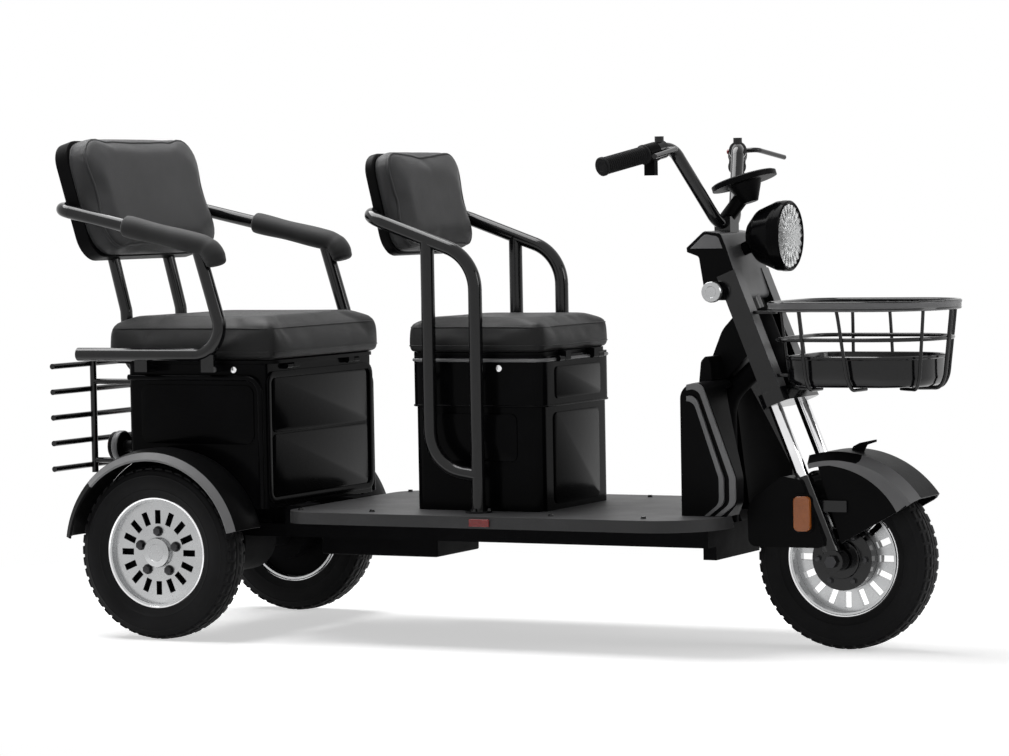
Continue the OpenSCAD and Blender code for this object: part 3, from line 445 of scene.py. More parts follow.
def turned(name, profile, steps, closed, place, body, slot, material):
    """Piece turned from a profile and put in its place"""
    obj = link(name, lathe(profile, name, steps, closed))
    obj.data.transform(place)
    return fit(obj, body, slot, material)


def welded(node):
    """Bmesh of a CAD node with its facets joined"""
    bm = bmesh.new()
    bm.from_mesh(NODES[node].data)
    bmesh.ops.remove_doubles(bm, verts=bm.verts, dist=WELD)
    bmesh.ops.dissolve_limit(bm, angle_limit=FLAT, verts=bm.verts, edges=bm.edges)
    return bm


def softened(node, name, width, segments=3, degrees=30):
    """Copy of a CAD node with rounded edges"""
    mesh = mesh_from(welded(node), name)
    if "custom_normal" in mesh.attributes:
        mesh.attributes.remove(mesh.attributes["custom_normal"])
    smooth(mesh)
    obj = link(name, mesh)
    edges = obj.modifiers.new("Edges", "BEVEL")
    edges.width = width
    edges.segments = segments
    edges.limit_method = "ANGLE"
    edges.angle_limit = math.radians(degrees)
    edges.harden_normals = True
    return baked(obj)


def tube_curve(points, radius, closed=False, name="tube"):
    """Mesh tube along points, through a bevelled curve"""
    curve = bpy.data.curves.new(name, "CURVE")
    curve.dimensions = "3D"
    curve.bevel_depth = radius
    curve.bevel_resolution = 4
    curve.use_fill_caps = not closed
    spline = curve.splines.new("POLY")
    spline.points.add(len(points) - 1)
    for point, place in zip(spline.points, points):
        point.co = (*place, 1)
    spline.use_cyclic_u = closed
    obj = link(name, curve)
    graph = bpy.context.evaluated_depsgraph_get()
    mesh = bpy.data.meshes.new_from_object(obj.evaluated_get(graph))
    bpy.data.objects.remove(obj)
    bpy.data.curves.remove(curve)
    mesh.name = name
    smooth(mesh, 60)
    return mesh


def risen_verts(made):
    """Points of what an extrusion made"""
    return [v for v in made["geom"] if isinstance(v, bmesh.types.BMVert)]


def joined(name, meshes):
    """One object out of several meshes, which are used up"""
    bm = bmesh.new()
    for mesh in meshes:
        bm.from_mesh(mesh)
        bpy.data.meshes.remove(mesh)
    return link(name, mesh_from(bm, name))


def quads(bm, rings, closed=False):
    """Faces between rings of points, each with the next, and the last with the first if closed"""
    for low, high in zip(rings, rings[1:] + rings[:1] if closed else rings[1:]):
        for i in range(len(low)):
            j = (i + 1) % len(low)
            bm.faces.new((low[i], low[j], high[j], high[i]))


def lathe(profile, name, steps=96, closed=False):
    """Surface of revolution about Y, from (radius, y) points"""
    bm = bmesh.new()
    rings = []
    for radius, y in profile:
        rings.append([bm.verts.new((radius * math.cos(t), y, radius * math.sin(t)))
            for t in (math.tau * i / steps for i in range(steps))])
    quads(bm, rings, closed)
    if not closed:
        bm.faces.new(rings[0])
        bm.faces.new(reversed(rings[-1]))
    bmesh.ops.recalc_face_normals(bm, faces=bm.faces)
    mesh = mesh_from(bm, name)
    smooth(mesh, 40)
    return mesh


# Geometry Nodes: copies of one item round a ring, or on points that each carry an aim

def repeat_tree(name, ring):
    """Node tree that puts copies of an item on a ring about Y, or on the points of its own mesh"""
    tree = bpy.data.node_groups.new(name, "GeometryNodeTree")
    face = tree.interface
    face.new_socket("Geometry", in_out="INPUT", socket_type="NodeSocketGeometry")
    face.new_socket("Item", in_out="INPUT", socket_type="NodeSocketObject")
    face.new_socket("Finish", in_out="INPUT", socket_type="NodeSocketMaterial")
    if ring:
        face.new_socket("Count", in_out="INPUT", socket_type="NodeSocketInt")
        face.new_socket("Radius", in_out="INPUT", socket_type="NodeSocketFloat")
    face.new_socket("Geometry", in_out="OUTPUT", socket_type="NodeSocketGeometry")
    node = tree.nodes.new
    enter, leave = node("NodeGroupInput"), node("NodeGroupOutput")
    item = node("GeometryNodeObjectInfo")
    tree.links.new(enter.outputs["Item"], item.inputs["Object"])
    spots = node("GeometryNodeInstanceOnPoints")
    tree.links.new(item.outputs["Geometry"], spots.inputs["Instance"])
    turn = node("FunctionNodeAlignRotationToVector")
    turn.axis = "Z"
    tree.links.new(turn.outputs["Rotation"], spots.inputs["Rotation"])
    if ring:
        circle = node("GeometryNodeMeshCircle")
        tree.links.new(enter.outputs["Count"], circle.inputs["Vertices"])
        tree.links.new(enter.outputs["Radius"], circle.inputs["Radius"])
        upright = node("GeometryNodeTransform")
        upright.inputs["Rotation"].default_value = (math.pi / 2, 0, 0)
        tree.links.new(circle.outputs["Mesh"], upright.inputs["Geometry"])
        tree.links.new(upright.outputs["Geometry"], spots.inputs["Points"])
        place = node("GeometryNodeInputPosition")
        tree.links.new(place.outputs["Position"], turn.inputs["Vector"])
        turn.pivot_axis = "Y"
    else:
        tree.links.new(enter.outputs["Geometry"], spots.inputs["Points"])
        aim = node("GeometryNodeInputNamedAttribute")
        aim.data_type = "FLOAT_VECTOR"
        aim.inputs["Name"].default_value = "aim"
        tree.links.new(aim.outputs["Attribute"], turn.inputs["Vector"])
    real, dress = node("GeometryNodeRealizeInstances"), node("GeometryNodeSetMaterial")
    tree.links.new(spots.outputs["Instances"], real.inputs["Geometry"])
    tree.links.new(real.outputs["Geometry"], dress.inputs["Geometry"])
    tree.links.new(enter.outputs["Finish"], dress.inputs["Material"])
    tree.links.new(dress.outputs["Geometry"], leave.inputs["Geometry"])
    return tree


def run_tree(name, mesh, tree, values):
    """Mesh that a tree makes on a carrier mesh, its inputs set by identifier"""
    carrier = link(name, mesh)
    mod = carrier.modifiers.new("Repeat", "NODES")
    mod.node_group = tree
    sockets = {s.name: s.identifier for s in tree.interface.items_tree if s.in_out == "INPUT"}
    for key, value in values.items():
        mod[sockets[key]] = value
    graph = bpy.context.evaluated_depsgraph_get()
    made = bpy.data.meshes.new_from_object(carrier.evaluated_get(graph))
    carrier.modifiers.clear()
    bpy.data.objects.remove(carrier)
    item = values["Item"]
    item_mesh = item.data
    bpy.data.objects.remove(item)
    bpy.data.meshes.remove(item_mesh)
    made.name = name
    return made


def ring_repeat(name, item_mesh, count, radius, material):
    """Copies of an item round the Y axis, its Z pointing outward"""
    tree = bpy.data.node_groups.get("Repeat On Ring") or repeat_tree("Repeat On Ring", True)
    return run_tree(name, bpy.data.meshes.new(name), tree,
        {"Item": link("item", item_mesh), "Finish": finish(material), "Count": count, "Radius": radius})


def point_repeat(name, item_mesh, spots, material):
    """Copies of an item on (place, aim) spots, its Z along the aim"""
    tree = bpy.data.node_groups.get("Repeat On Points") or repeat_tree("Repeat On Points", False)
    mesh = bpy.data.meshes.new(name)
    mesh.from_pydata([place for place, aim in spots], [], [])
    aims = mesh.attributes.new("aim", "FLOAT_VECTOR", "POINT")
    for value, (place, aim) in zip(aims.data, spots):
        value.vector = aim
    return run_tree(name, mesh, tree, {"Item": link("item", item_mesh), "Finish": finish(material)})


def hex_bolt(across, height):
    """Hexagon head with a chamfered top on a washer a quarter of its height, standing on Z = 0"""
    corner = across * 0.577
    bm = bmesh.new()
    bmesh.ops.create_cone(bm, segments=24, cap_ends=True, radius1=across * 0.72, radius2=across * 0.7,
        depth=height * 0.25, matrix=Matrix.Translation((0, 0, height * 0.125)))
    head = bmesh.ops.create_cone(bm, segments=6, cap_ends=True, radius1=corner, radius2=corner,
        depth=height * 0.75, matrix=Matrix.Translation((0, 0, height * 0.625)))
    rims = {edge for vert in head["verts"] for edge in vert.link_edges
        if min(v.co.z for v in edge.verts) > height * 0.9}
    bmesh.ops.bevel(bm, geom=list(rims), offset=across * 0.08, segments=2, affect="EDGES", profile=0.5)
    mesh = mesh_from(bm, "hex_bolt")
    smooth(mesh, 30)
    return mesh


# Soft goods

VOXEL = 0.0055
SIM_FRAMES = 20
SOFTEN_STEPS = 14
CORNER_STEPS = 8
# Points this far up from a pad's foot stay still while it swells
HELD_DEPTH = 0.004


def rounded_block(lo, hi, corner, edge, foot, name):
    """Block with rounded upright corners, a rounded top edge and a rounded foot"""
    bm = bmesh.new()
    centre = (Vector(lo) + Vector(hi)) / 2
    half = (Vector(hi) - Vector(lo)) / 2
    turns = []
    for quarter, (sx, sy) in enumerate(((1, 1), (-1, 1), (-1, -1), (1, -1))):
        for step in range(CORNER_STEPS + 1):
            t = math.pi / 2 * (quarter + step / CORNER_STEPS)
            turns.append((sx * (half.x - corner) + corner * math.cos(t),
                sy * (half.y - corner) + corner * math.sin(t)))
    base = bm.faces.new([bm.verts.new((centre.x + x, centre.y + y, lo[2])) for x, y in turns])
    risen = bmesh.ops.extrude_face_region(bm, geom=[base])
    bmesh.ops.translate(bm, vec=(0, 0, hi[2] - lo[2]), verts=risen_verts(risen))
    bmesh.ops.recalc_face_normals(bm, faces=bm.faces)
    for level, width in ((hi[2], edge), (lo[2], foot)):
        rims = [e for e in bm.edges if all(abs(v.co.z - level) < 1e-6 for v in e.verts)]
        bmesh.ops.bevel(bm, geom=rims, offset=width, segments=5, affect="EDGES", profile=0.5)
    return link(name, mesh_from(bm, name))


def puffed(obj, pressure, cap, floor):
    """Cushion swollen by cloth simulation, its foot held still and every other point's move capped"""
    remesh = obj.modifiers.new("Voxels", "REMESH")
    remesh.mode = "VOXEL"
    remesh.voxel_size = VOXEL
    baked(obj)
    start = [v.co.copy() for v in obj.data.vertices]
    group = obj.vertex_groups.new(name="held")
    group.add([v.index for v in obj.data.vertices if v.co.z < floor + HELD_DEPTH], 1.0, "REPLACE")
    cloth = obj.modifiers.new("Cloth", "CLOTH")
    cloth.settings.use_pressure = True
    cloth.settings.uniform_pressure_force = pressure
    cloth.settings.effector_weights.gravity = 0
    cloth.settings.vertex_group_mass = "held"
    cloth.point_cache.frame_start = 1
    cloth.point_cache.frame_end = SIM_FRAMES
    for number in range(1, SIM_FRAMES + 1):
        bpy.context.scene.frame_set(number)
    baked(obj)
    obj.vertex_groups.clear()
    bpy.context.scene.frame_set(1)
    for vert, place in zip(obj.data.vertices, start):
        move = vert.co - place
        if move.length > cap:
            vert.co = place + move * (cap / move.length)
    soften = obj.modifiers.new("Soften", "SMOOTH")
    soften.iterations = SOFTEN_STEPS
    finer = obj.modifiers.new("Finer", "SUBSURF")
    finer.levels = finer.render_levels = 1
    baked(obj)
    obj.data.shade_smooth()
    return obj


def girdle(obj, centre, count=120):
    """Outline of a piece at the height of a centre, found by rays towards it"""
    tree = BVHTree.FromPolygons([v.co for v in obj.data.vertices], [p.vertices for p in obj.data.polygons])
    points = []
    for i in range(count):
        t = math.tau * i / count
        ray = Vector((math.cos(t), math.sin(t), 0))
        place = tree.ray_cast(centre + ray * 2, -ray)[0]
        if place is None:
            raise RuntimeError(f"the outline of {obj.name} isn't closed")
        points.append(place)
    return points


class TRICYCLE_OT_cushions(bpy.types.Operator):
    """Seat cushions: swollen vinyl pads with a welt above the foot and one below the top"""
    bl_idname = "tricycle.cushions"
    bl_label = "Seat Cushions"

    # Radii of the upright corners, the top edge and the foot
    ROUNDS = {"front": (0.024, 0.013, 0.008), "rear": (0.022, 0.026, 0.013)}
    INSET = Vector((0.002, 0.002, 0))
    CROWN = Vector((0, 0, 0.005))
    PRESSURE, CAP = 2.2, 0.010
    WELT_LEVELS = (0.2, 0.76)

    def execute(self, context):
        for seat, (corner, edge, foot) in self.ROUNDS.items():
            lid = seat + "_seat_lid"
            lo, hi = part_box(seat + "_cushion")
            pad = rounded_block(lo + self.INSET, hi - self.INSET - self.CROWN, corner, edge, foot, seat + "_seat_pad")
            puffed(pad, self.PRESSURE, self.CAP, lo.z)
            fit(pad, lid, "vinyl", "seat_vinyl", seat + "_cushion")
            middle = (lo + hi) / 2
            rows = []
            for share in self.WELT_LEVELS:
                centre = Vector((middle.x, middle.y, lo.z + share * (hi.z - lo.z)))
                rows.append(tube_curve(girdle(pad, centre), size_props().seat_welt, True))
            piece(seat + "_seat_welt", rows, 60, lid, "vinyl", "seat_vinyl")
        return {"FINISHED"}


class TRICYCLE_OT_backrests(bpy.types.Operator):
    """Backrests: swollen vinyl pads with piped edges on moulded shells"""
    bl_idname = "tricycle.backrests"
    bl_label = "Backrests"

    # Foot of the backrest's face, lean in degrees, half width, height, whole depth, shell's depth, corner radius
    SIZES = {
        "front": ((-0.149, 0, 0.794), 13.0, 0.162, 0.212, 0.058, 0.022, 0.044),
        "rear": ((-0.813, 0, 0.800), 16.5, 0.230, 0.256, 0.075, 0.030, 0.058),
    }
    INSET = 0.003
    EDGE, FOOT = 0.018, 0.002
    PRESSURE, CAP = 1.6, 0.008
    # Heights of the piping above the shell and below the pad's face
    PIPING = (0.003, 0.009)

    def execute(self, context):
        for seat, (foot, lean, half, tall, deep, shell, corner) in self.SIZES.items():
            place = Matrix.Translation(foot) @ Matrix.Rotation(math.radians(-lean), 4, "Y")
            upright = Matrix.Rotation(math.pi / 2, 4, "Y")
            # The block's plan lies in the backrest's face, and its height is the pad's thickness
            lo = Vector((-tall + self.INSET, -half + self.INSET, -deep + shell - 0.001))
            hi = Vector((-self.INSET, half - self.INSET, 0.002))
            pad = rounded_block(lo, hi, corner, self.EDGE, self.FOOT, seat + "_back_pad")
            puffed(pad, self.PRESSURE, self.CAP, lo.z)
            welts = []
            for level in (lo.z + self.PIPING[0], hi.z - self.PIPING[1]):
                centre = Vector(((lo.x + hi.x) / 2, 0, level))
                welts.append(tube_curve(girdle(pad, centre), size_props().back_welt, True))
            welt = joined(seat + "_back_welt", welts)
            smooth(welt.data, 60)
            for obj in (pad, welt):
                obj.data.transform(place @ upright)
            fit(pad, "chassis", "vinyl", "back_vinyl", seat + "_backrest_pad")
            fit(welt, "chassis", "vinyl", "back_vinyl")
            back = softened(seat + "_backrest_shell", seat + "_back_shell", 0.006, 4)
            fit(back, "chassis", "satin_black", "satin_plastic", seat + "_backrest_shell")
        return {"FINISHED"}


# Wheels

WHEELS = {"front_wheel": ("front_tyre", "front_rim"), "rear_wheel_right": ("rear_tyre_right", "rear_rim_right"),
    "rear_wheel_left": ("rear_tyre_left", "rear_rim_left")}


def node_centre(node):
    """Middle of a node's box"""
    lo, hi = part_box(node)
    return (lo + hi) / 2


def tread_block(length, width, height, skew):
    """One block of the tread, bevelled and slanted, its Z outward from the wheel and its Y across it"""
    bm = bmesh.new()
    bmesh.ops.create_cube(bm, size=1.0, matrix=Matrix.Diagonal((length, width, height, 1)))
    for vert in bm.verts:
        vert.co.x += skew * vert.co.y
        vert.co.x *= 1.0 if vert.co.z < 0 else 0.86
    bmesh.ops.bevel(bm, geom=bm.edges[:], offset=0.0007, segments=1, affect="EDGES")
    mesh = mesh_from(bm, "tread_block")
    smooth(mesh, 30)
    return mesh


class TRICYCLE_OT_tyres(bpy.types.Operator):
    """Tyres: a moulded carcass with sidewall rings and rows of tread blocks"""
    bl_idname = "tricycle.tyres"
    bl_label = "Tyres"

    # Section from the bead to the crown: radius in metres, place across as a share of the half width
    SECTION = [(0.1135, 0.71), (0.118, 0.77), (0.124, 0.85), (0.130, 0.905), (0.1306, 0.925), (0.1316, 0.93),
        (0.1323, 0.921), (0.139, 0.965), (0.146, 0.985), (0.153, 0.98), (0.1585, 0.955), (0.1592, 0.965),
        (0.1604, 0.962), (0.161, 0.94), (0.1665, 0.90), (0.1714, 0.82), (0.1742, 0.70), (0.1757, 0.60),
        (0.1764, 0.54), (0.1770, 0.47), (0.1780, 0.30), (0.1784, 0.17), (0.1770, 0.155), (0.1770, 0.115),
        (0.1791, 0.10), (0.1796, 0.0)]
    # Rows of blocks: place across, then a block's length, width, height and slant
    ROWS = ((0.32, (0.0195, 0.0125, 0.0036, 0.5)), (-0.32, (0.0195, 0.0125, 0.0036, -0.5)),
        (0.66, (0.0185, 0.013, 0.0040, 0.3)), (-0.66, (0.0185, 0.013, 0.0040, -0.3)))
    # How far the blocks' middles lie in from the full radius: at the crown, and more towards the shoulders
    SUNK, CROWN = 0.0019, 0.0104

    def execute(self, context):
        lo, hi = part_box("front_tyre")
        full = (hi.z - lo.z) / 2
        wide = (hi.y - lo.y) / 2
        count = size_props().tread_blocks
        profile = [(r, wide * y) for r, y in self.SECTION] + [(r, -wide * y) for r, y in reversed(self.SECTION[:-1])]
        for body, (tyre, _) in WHEELS.items():
            parts = [lathe(profile, "carcass", 160, True)]
            for place, block in self.ROWS:
                drop = self.SUNK + self.CROWN * place * place
                row = ring_repeat("row", tread_block(*block), count, full - drop, "rubber")
                turn = Matrix.Rotation(math.pi / count * (1 if place > 0 else 0), 4, "Y")
                row.transform(Matrix.Translation((0, wide * place, 0)) @ turn)
                parts.append(row)
            obj = joined(tyre.replace("tyre", "tread"), parts)
            obj.data.transform(Matrix.Translation(node_centre(tyre)))
            smooth(obj.data, 40)
            fit(obj, body, "tyre", "rubber", tyre)
        return {"FINISHED"}


class TRICYCLE_OT_rims(bpy.types.Operator):
    """Rims: slotted alloy discs with bright rolled lips"""
    bl_idname = "tricycle.rims"
    bl_label = "Wheel Rims"

    # Section of a lip: radius, and how far out from the rim's side
    LIP = ((0.1085, -0.004), (0.1105, 0.0002), (0.1135, 0.0012), (0.1152, -0.0004), (0.1148, -0.003), (0.1115, -0.007),
        (0.1085, -0.008))

    def execute(self, context):
        for body, (_, rim) in WHEELS.items():
            disc = softened(rim, rim.replace("rim", "wheel"), 0.0012, 2)
            fit(disc, body, "silver", "alloy", rim)
            lo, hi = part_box(rim)
            wide = (hi.y - lo.y) / 2
            lips = [lathe([(r, side * (wide + out)) for r, out in self.LIP], "lip", 128, True) for side in (1, -1)]
            ring = joined(rim + "_lips", lips)
            ring.data.transform(Matrix.Translation(node_centre(rim)))
            smooth(ring.data, 50)
            fit(ring, body, "silver", "chrome")
        return {"FINISHED"}


# Rigid parts that keep their form: softened copies, or the CAD solid itself with its finish

# Softened copies: width of the rounded edges, finish and slot
SOFTENED = {
    "deck": (0.0095, "deck_plastic", "deck_plastic"),
    "leg_shield": (0.002, "satin_plastic", "satin_black"),
    "neck_cover": (0.003, "satin_plastic", "satin_black"),
    "front_seat_box": (0.0022, "gloss_paint", "gloss_black"),
    "rear_seat_box": (0.0022, "gloss_paint", "gloss_black"),
    "front_seat_base": (0.001, "satin_plastic", "satin_black"),
    "rear_seat_base": (0.001, "satin_plastic", "satin_black"),
    "rear_mudguards": (0.0012, "satin_plastic", "satin_black"),
    "front_fender": (0.0012, "satin_plastic", "satin_black"),
    "fork_covers": (0.003, "satin_plastic", "satin_black"),
    "dash_shroud": (0.004, "satin_plastic", "satin_black"),
    "switch_blocks": (0.0015, "satin_plastic", "satin_black"),
    "turn_signals": (0.002, "amber_lens", "amber"),
    "deck_reflectors": (0.0012, "red_lens", "red"),
    "tail_lamps": (0.003, "satin_plastic", "red"),
    "battery": (0.004, "satin_plastic", "battery_case"),
    "controller_box": (0.004, "undercoat", "satin_black"),
    "rear_axle": (0.002, "undercoat", "painted_steel"),
    "fork": (0.0015, "tube_paint", "tube_black"),
    "front_hub": (0.0015, "tube_paint", "painted_steel"),
    "column_lock": (0.002, "chrome", "chrome"),
    "instrument": (0.003, "satin_plastic", "satin_black"),
    "headlamp_bowl": (0.002, "gloss_paint", "gloss_black"),
    "front_axle": (0.0008, "steel", "steel"),
}
# CAD solids that stay, each with its finish
KEPT = {
    "frame": "undercoat",
    **dict.fromkeys(("front_seat_frame", "rear_seat_frame", "rear_rack", "handlebar", "brake_levers", "rear_springs",
        "fork_sliders"), "tube_paint"),
}
# The steering's axis, the direction across it and a point on it; the wheels' axles
RAKE = math.radians(22)
AXIS = Vector((-math.sin(RAKE), 0, math.cos(RAKE)))
AHEAD = Vector((math.cos(RAKE), 0, math.sin(RAKE)))
AXIS_FOOT = Vector((0.739, 0, 0.180))
FRONT_X, REAR_X, AXLE_Z = 0.732, -0.668, 0.180


def polar(at, x):
    """Distance from a wheel's axis, and the angle round it in degrees from straight ahead"""
    return math.hypot(at.x - x, at.z - AXLE_Z), math.degrees(math.atan2(at.z - AXLE_Z, at.x - x))


# Second finishes: each row gives a node, a finish and the test of a face's centre and normal. The pale grey is a trim
# band on the leg shield and the fender, and a painted highlight on the mudguards, the fork and the dash shroud
TWO_TONE = (
    ("leg_shield", "pale_trim_and_highlight", lambda at, n: abs(at.y) > 0.1608),
    ("front_fender", "pale_trim_and_highlight", lambda at, n: abs(n.y) > 0.97 and abs(at.y) > 0.0748
        or 0.25 < abs(n.y) < 0.97 and abs(at.y) > 0.05 and polar(at, FRONT_X)[1] < 76),
    # Painted highlight: pale grey on the mudguards' outer bevels
    ("rear_mudguards", "pale_trim_and_highlight", lambda at, n: abs(at.y) > 0.3295 and abs(n.y) > 0.3
        and polar(at, REAR_X)[1] < 136),
    ("fork", "chrome", lambda at, n: 0.180 < (at - AXIS_FOOT).dot(AXIS) < 0.326),
    # Painted highlight: pale grey on the fork's forward faces
    ("fork", "pale_trim_and_highlight", lambda at, n: n.dot(AHEAD) > 0.93 and (at - AXIS_FOOT).dot(AXIS) > 0.36),
    # Painted highlight: pale grey on the shroud's upward and forward faces
    ("dash_shroud", "pale_trim_and_highlight", lambda at, n: n.z > 0.45 or n.x > 0.55),
    ("tail_lamps", "red_lens", lambda at, n: n.x < -0.7 and at.x < -0.83),
)


class TRICYCLE_OT_panels(bpy.types.Operator):
    """Deck, bins, guards, shrouds and small rigid parts with rounded edges"""
    bl_idname = "tricycle.panels"
    bl_label = "Panels"

    def execute(self, context):
        for node, (width, material, slot) in SOFTENED.items():
            panel = fit(softened(node, node + "_finished", width), BODY_OF[node], slot, material, node)
            for owner, second, test in TWO_TONE:
                if owner == node:
                    two_tone(panel, second, test)
        return {"FINISHED"}


class TRICYCLE_OT_tubes(bpy.types.Operator):
    """Finishes of the CAD solids that stay: tubes, springs and levers"""
    bl_idname = "tricycle.tubes"
    bl_label = "Tubes"

    def execute(self, context):
        for node, material in KEPT.items():
            NODES[node].data.materials.clear()
            NODES[node].data.materials.append(finish(material))
        return {"FINISHED"}


# Trim that sits on the softened panels

def two_tone(obj, material, test):
    """Second finish on the faces that pass a test of centre and normal"""
    obj.data.materials.append(finish(material))
    index = len(obj.data.materials) - 1
    for face in obj.data.polygons:
        if test(face.center, face.normal):
            face.material_index = index


def raised(bm, faces, lift, edge, segments, name):
    """Mesh of flat faces raised along a vector, with softened edges"""
    risen = bmesh.ops.extrude_face_region(bm, geom=faces)
    bmesh.ops.translate(bm, vec=lift, verts=risen_verts(risen))
    bmesh.ops.recalc_face_normals(bm, faces=bm.faces)
    sharp = [e for e in bm.edges if e.calc_face_angle(0) > SHARP]
    bmesh.ops.bevel(bm, geom=sharp, offset=edge, segments=segments, affect="EDGES", profile=0.5, clamp_overlap=True)
    mesh = mesh_from(bm, name)
    smooth(mesh, 40)
    return mesh


def plate(outline, lift, name, edge=0.0012, segments=2):
    """Plate with softened edges: an outline of points, raised along a vector"""
    bm = bmesh.new()
    mesh = raised(bm, [bm.faces.new([bm.verts.new(p) for p in outline])], lift, edge, segments, name)
    for face in mesh.polygons:
        face.use_smooth = len(face.vertices) < 5
    return mesh


def rounded_outline(low, high, radius, steps=6, front=None):
    """Points (u, v) of a rectangle with rounded corners, those at its high u with a radius of their own if given"""
    (u0, v0), (u1, v1) = low, high
    points = []
    for quarter, (su, sv) in enumerate(((1, 1), (-1, 1), (-1, -1), (1, -1))):
        r = front if front and su > 0 else radius
        u = u1 - r if su > 0 else u0 + r
        v = v1 - r if sv > 0 else v0 + r
        for step in range(steps + 1):
            t = math.pi / 2 * (quarter + step / steps)
            points.append((u + r * math.cos(t), v + r * math.sin(t)))
    return points


def frame_band(low, high, radius, band, lift, spot, name):
    """Flat frame with a rounded outline and a rounded opening, spot(u, v) giving each point's place"""
    outer = rounded_outline(low, high, radius)
    inner = rounded_outline((low[0] + band, low[1] + band), (high[0] - band, high[1] - band), max(radius - band, 0.003))
    bm = bmesh.new()
    rim, hole = ([bm.verts.new(spot(u, v)) for u, v in row] for row in (outer, inner))
    quads(bm, [rim, hole])
    return raised(bm, bm.faces[:], lift, 0.0011, 2, name)


class TRICYCLE_OT_bin_trim(bpy.types.Operator):
    """Trim of the seat bins: door panels, edge tubes, lips and locks"""
    bl_idname = "tricycle.bin_trim"
    bl_label = "Bin Trim"

    # How deep the trim is let into the bins
    SUNK = 0.0005
    EDGE_TUBE, EDGE_BEND = 0.0062, 0.034
    LOCKS = ((0.056, -0.1648, 0.556), (-0.52, -0.2298, 0.5535))
    BARREL = [(0.0, 0.0), (0.0065, 0.0), (0.0072, 0.001), (0.0072, 0.003), (0.0065, 0.004), (0.005, 0.004),
        (0.0045, 0.0032), (0.0, 0.0032)]

    def execute(self, context):
        self.rear_bin()
        self.front_bin()
        self.locks()
        return {"FINISHED"}

    def rear_bin(self):
        """Framed front with two door panels, side panels, and tubes along the front edges"""
        lo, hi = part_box("rear_seat_box")
        face, edge_x = -0.449, -0.4565

        def on_face(u, v):
            return face - self.SUNK, u, v

        low, high = (-0.224, lo.z + 0.008), (0.224, hi.z - 0.016)
        parts = [frame_band(low, high, 0.026, 0.013, (0.005, 0, 0), on_face, "band")]
        for low, high in ((0.020, 0.150), (0.154, 0.266)):
            points = [on_face(u, v) for u, v in rounded_outline((-0.2, lo.z + low), (0.2, lo.z + high), 0.012)]
            parts.append(plate(points, (0.003, 0, 0), "door"))
        for side in (1, -1):
            bend = [(edge_x - self.EDGE_BEND * (1 - math.cos(t)), lo.z + 0.234 + self.EDGE_BEND * math.sin(t))
                for t in (math.pi / 2 * k / 8 for k in range(9))]
            path = [(edge_x, lo.z + 0.002)] + bend + [(-0.772, lo.z + 0.268)]
            points = [(x, side * (hi.y + self.EDGE_TUBE), z) for x, z in path]
            parts.append(tube_curve(points, self.EDGE_TUBE, name="edge_tube"))
            points = [(u, side * (hi.y - self.SUNK), v)
                for u, v in rounded_outline((-0.745, 0.40), (-0.475, 0.522), 0.02)]
            parts.append(plate(points, (0, side * 0.003, 0), "side_panel", 0.0014))
        piece("rear_bin_trim", parts, 40, "chassis", "gloss_black", "gloss_paint")

    def front_bin(self):
        """Lip under the lid, a bead below it, and panels on the front and the sides"""
        lo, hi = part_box("front_seat_box")
        mid, half_l, half_w, corner = 0.001, 0.149, 0.165, 0.029
        outline = rounded_outline((-half_l, -half_w), (half_l, half_w), corner)
        ring = [(mid + u, v, hi.z - 0.008) for u, v in outline]
        # The lip is gloss black; the pale grey on it is a painted highlight
        lip = link("front_bin_lip", tube_curve(ring, 0.0036, True, name="lip"))
        fit(lip, "chassis", "gloss_black", "pale_trim_and_highlight")
        ring = [(mid + u, v, lo.z + 0.211) for u, v in outline]
        parts = [tube_curve(ring, 0.0022, True, name="bead")]
        # Front panels: place, heights, corner, thickness and edge
        for x, low, high, radius, thick, edge in ((0.1435, 0.012, 0.196, 0.014, 0.0035, 0.0014),
                (0.1485, 0.224, 0.288, 0.010, 0.003, 0.0012)):
            points = [(mid + x, u, v) for u, v in rounded_outline((-0.105, lo.z + low), (0.105, lo.z + high), radius)]
            parts.append(plate(points, (thick, 0, 0), "panel", edge))
        for side in (1, -1):
            points = [(mid + u, side * 0.1595, v)
                for u, v in rounded_outline((-0.09, lo.z + 0.1), (0.09, lo.z + 0.196), 0.014)]
            parts.append(plate(points, (0, side * 0.003, 0), "panel", 0.0014))
        piece("front_bin_trim", parts, 40, "chassis", "gloss_black", "gloss_paint")

    def locks(self):
        """Lock barrels with a key slot, on the right side of both bins"""
        locks = []
        for place in self.LOCKS:
            barrel = lathe(self.BARREL, "lock", 32)
            barrel.transform(Matrix.Translation(place) @ Matrix.Rotation(math.pi, 4, "Z"))
            slot = rounded_outline((-0.0006, -0.0032), (0.0006, 0.0032), 0.0005)
            points = [Vector(place) + Vector((u, -0.0034, v)) for u, v in slot]
            locks += [barrel, plate(points, (0, -0.0004, 0), "key_slot", 0.0001, 1)]
        piece("bin_locks", locks, 40, "chassis", "chrome", "chrome")


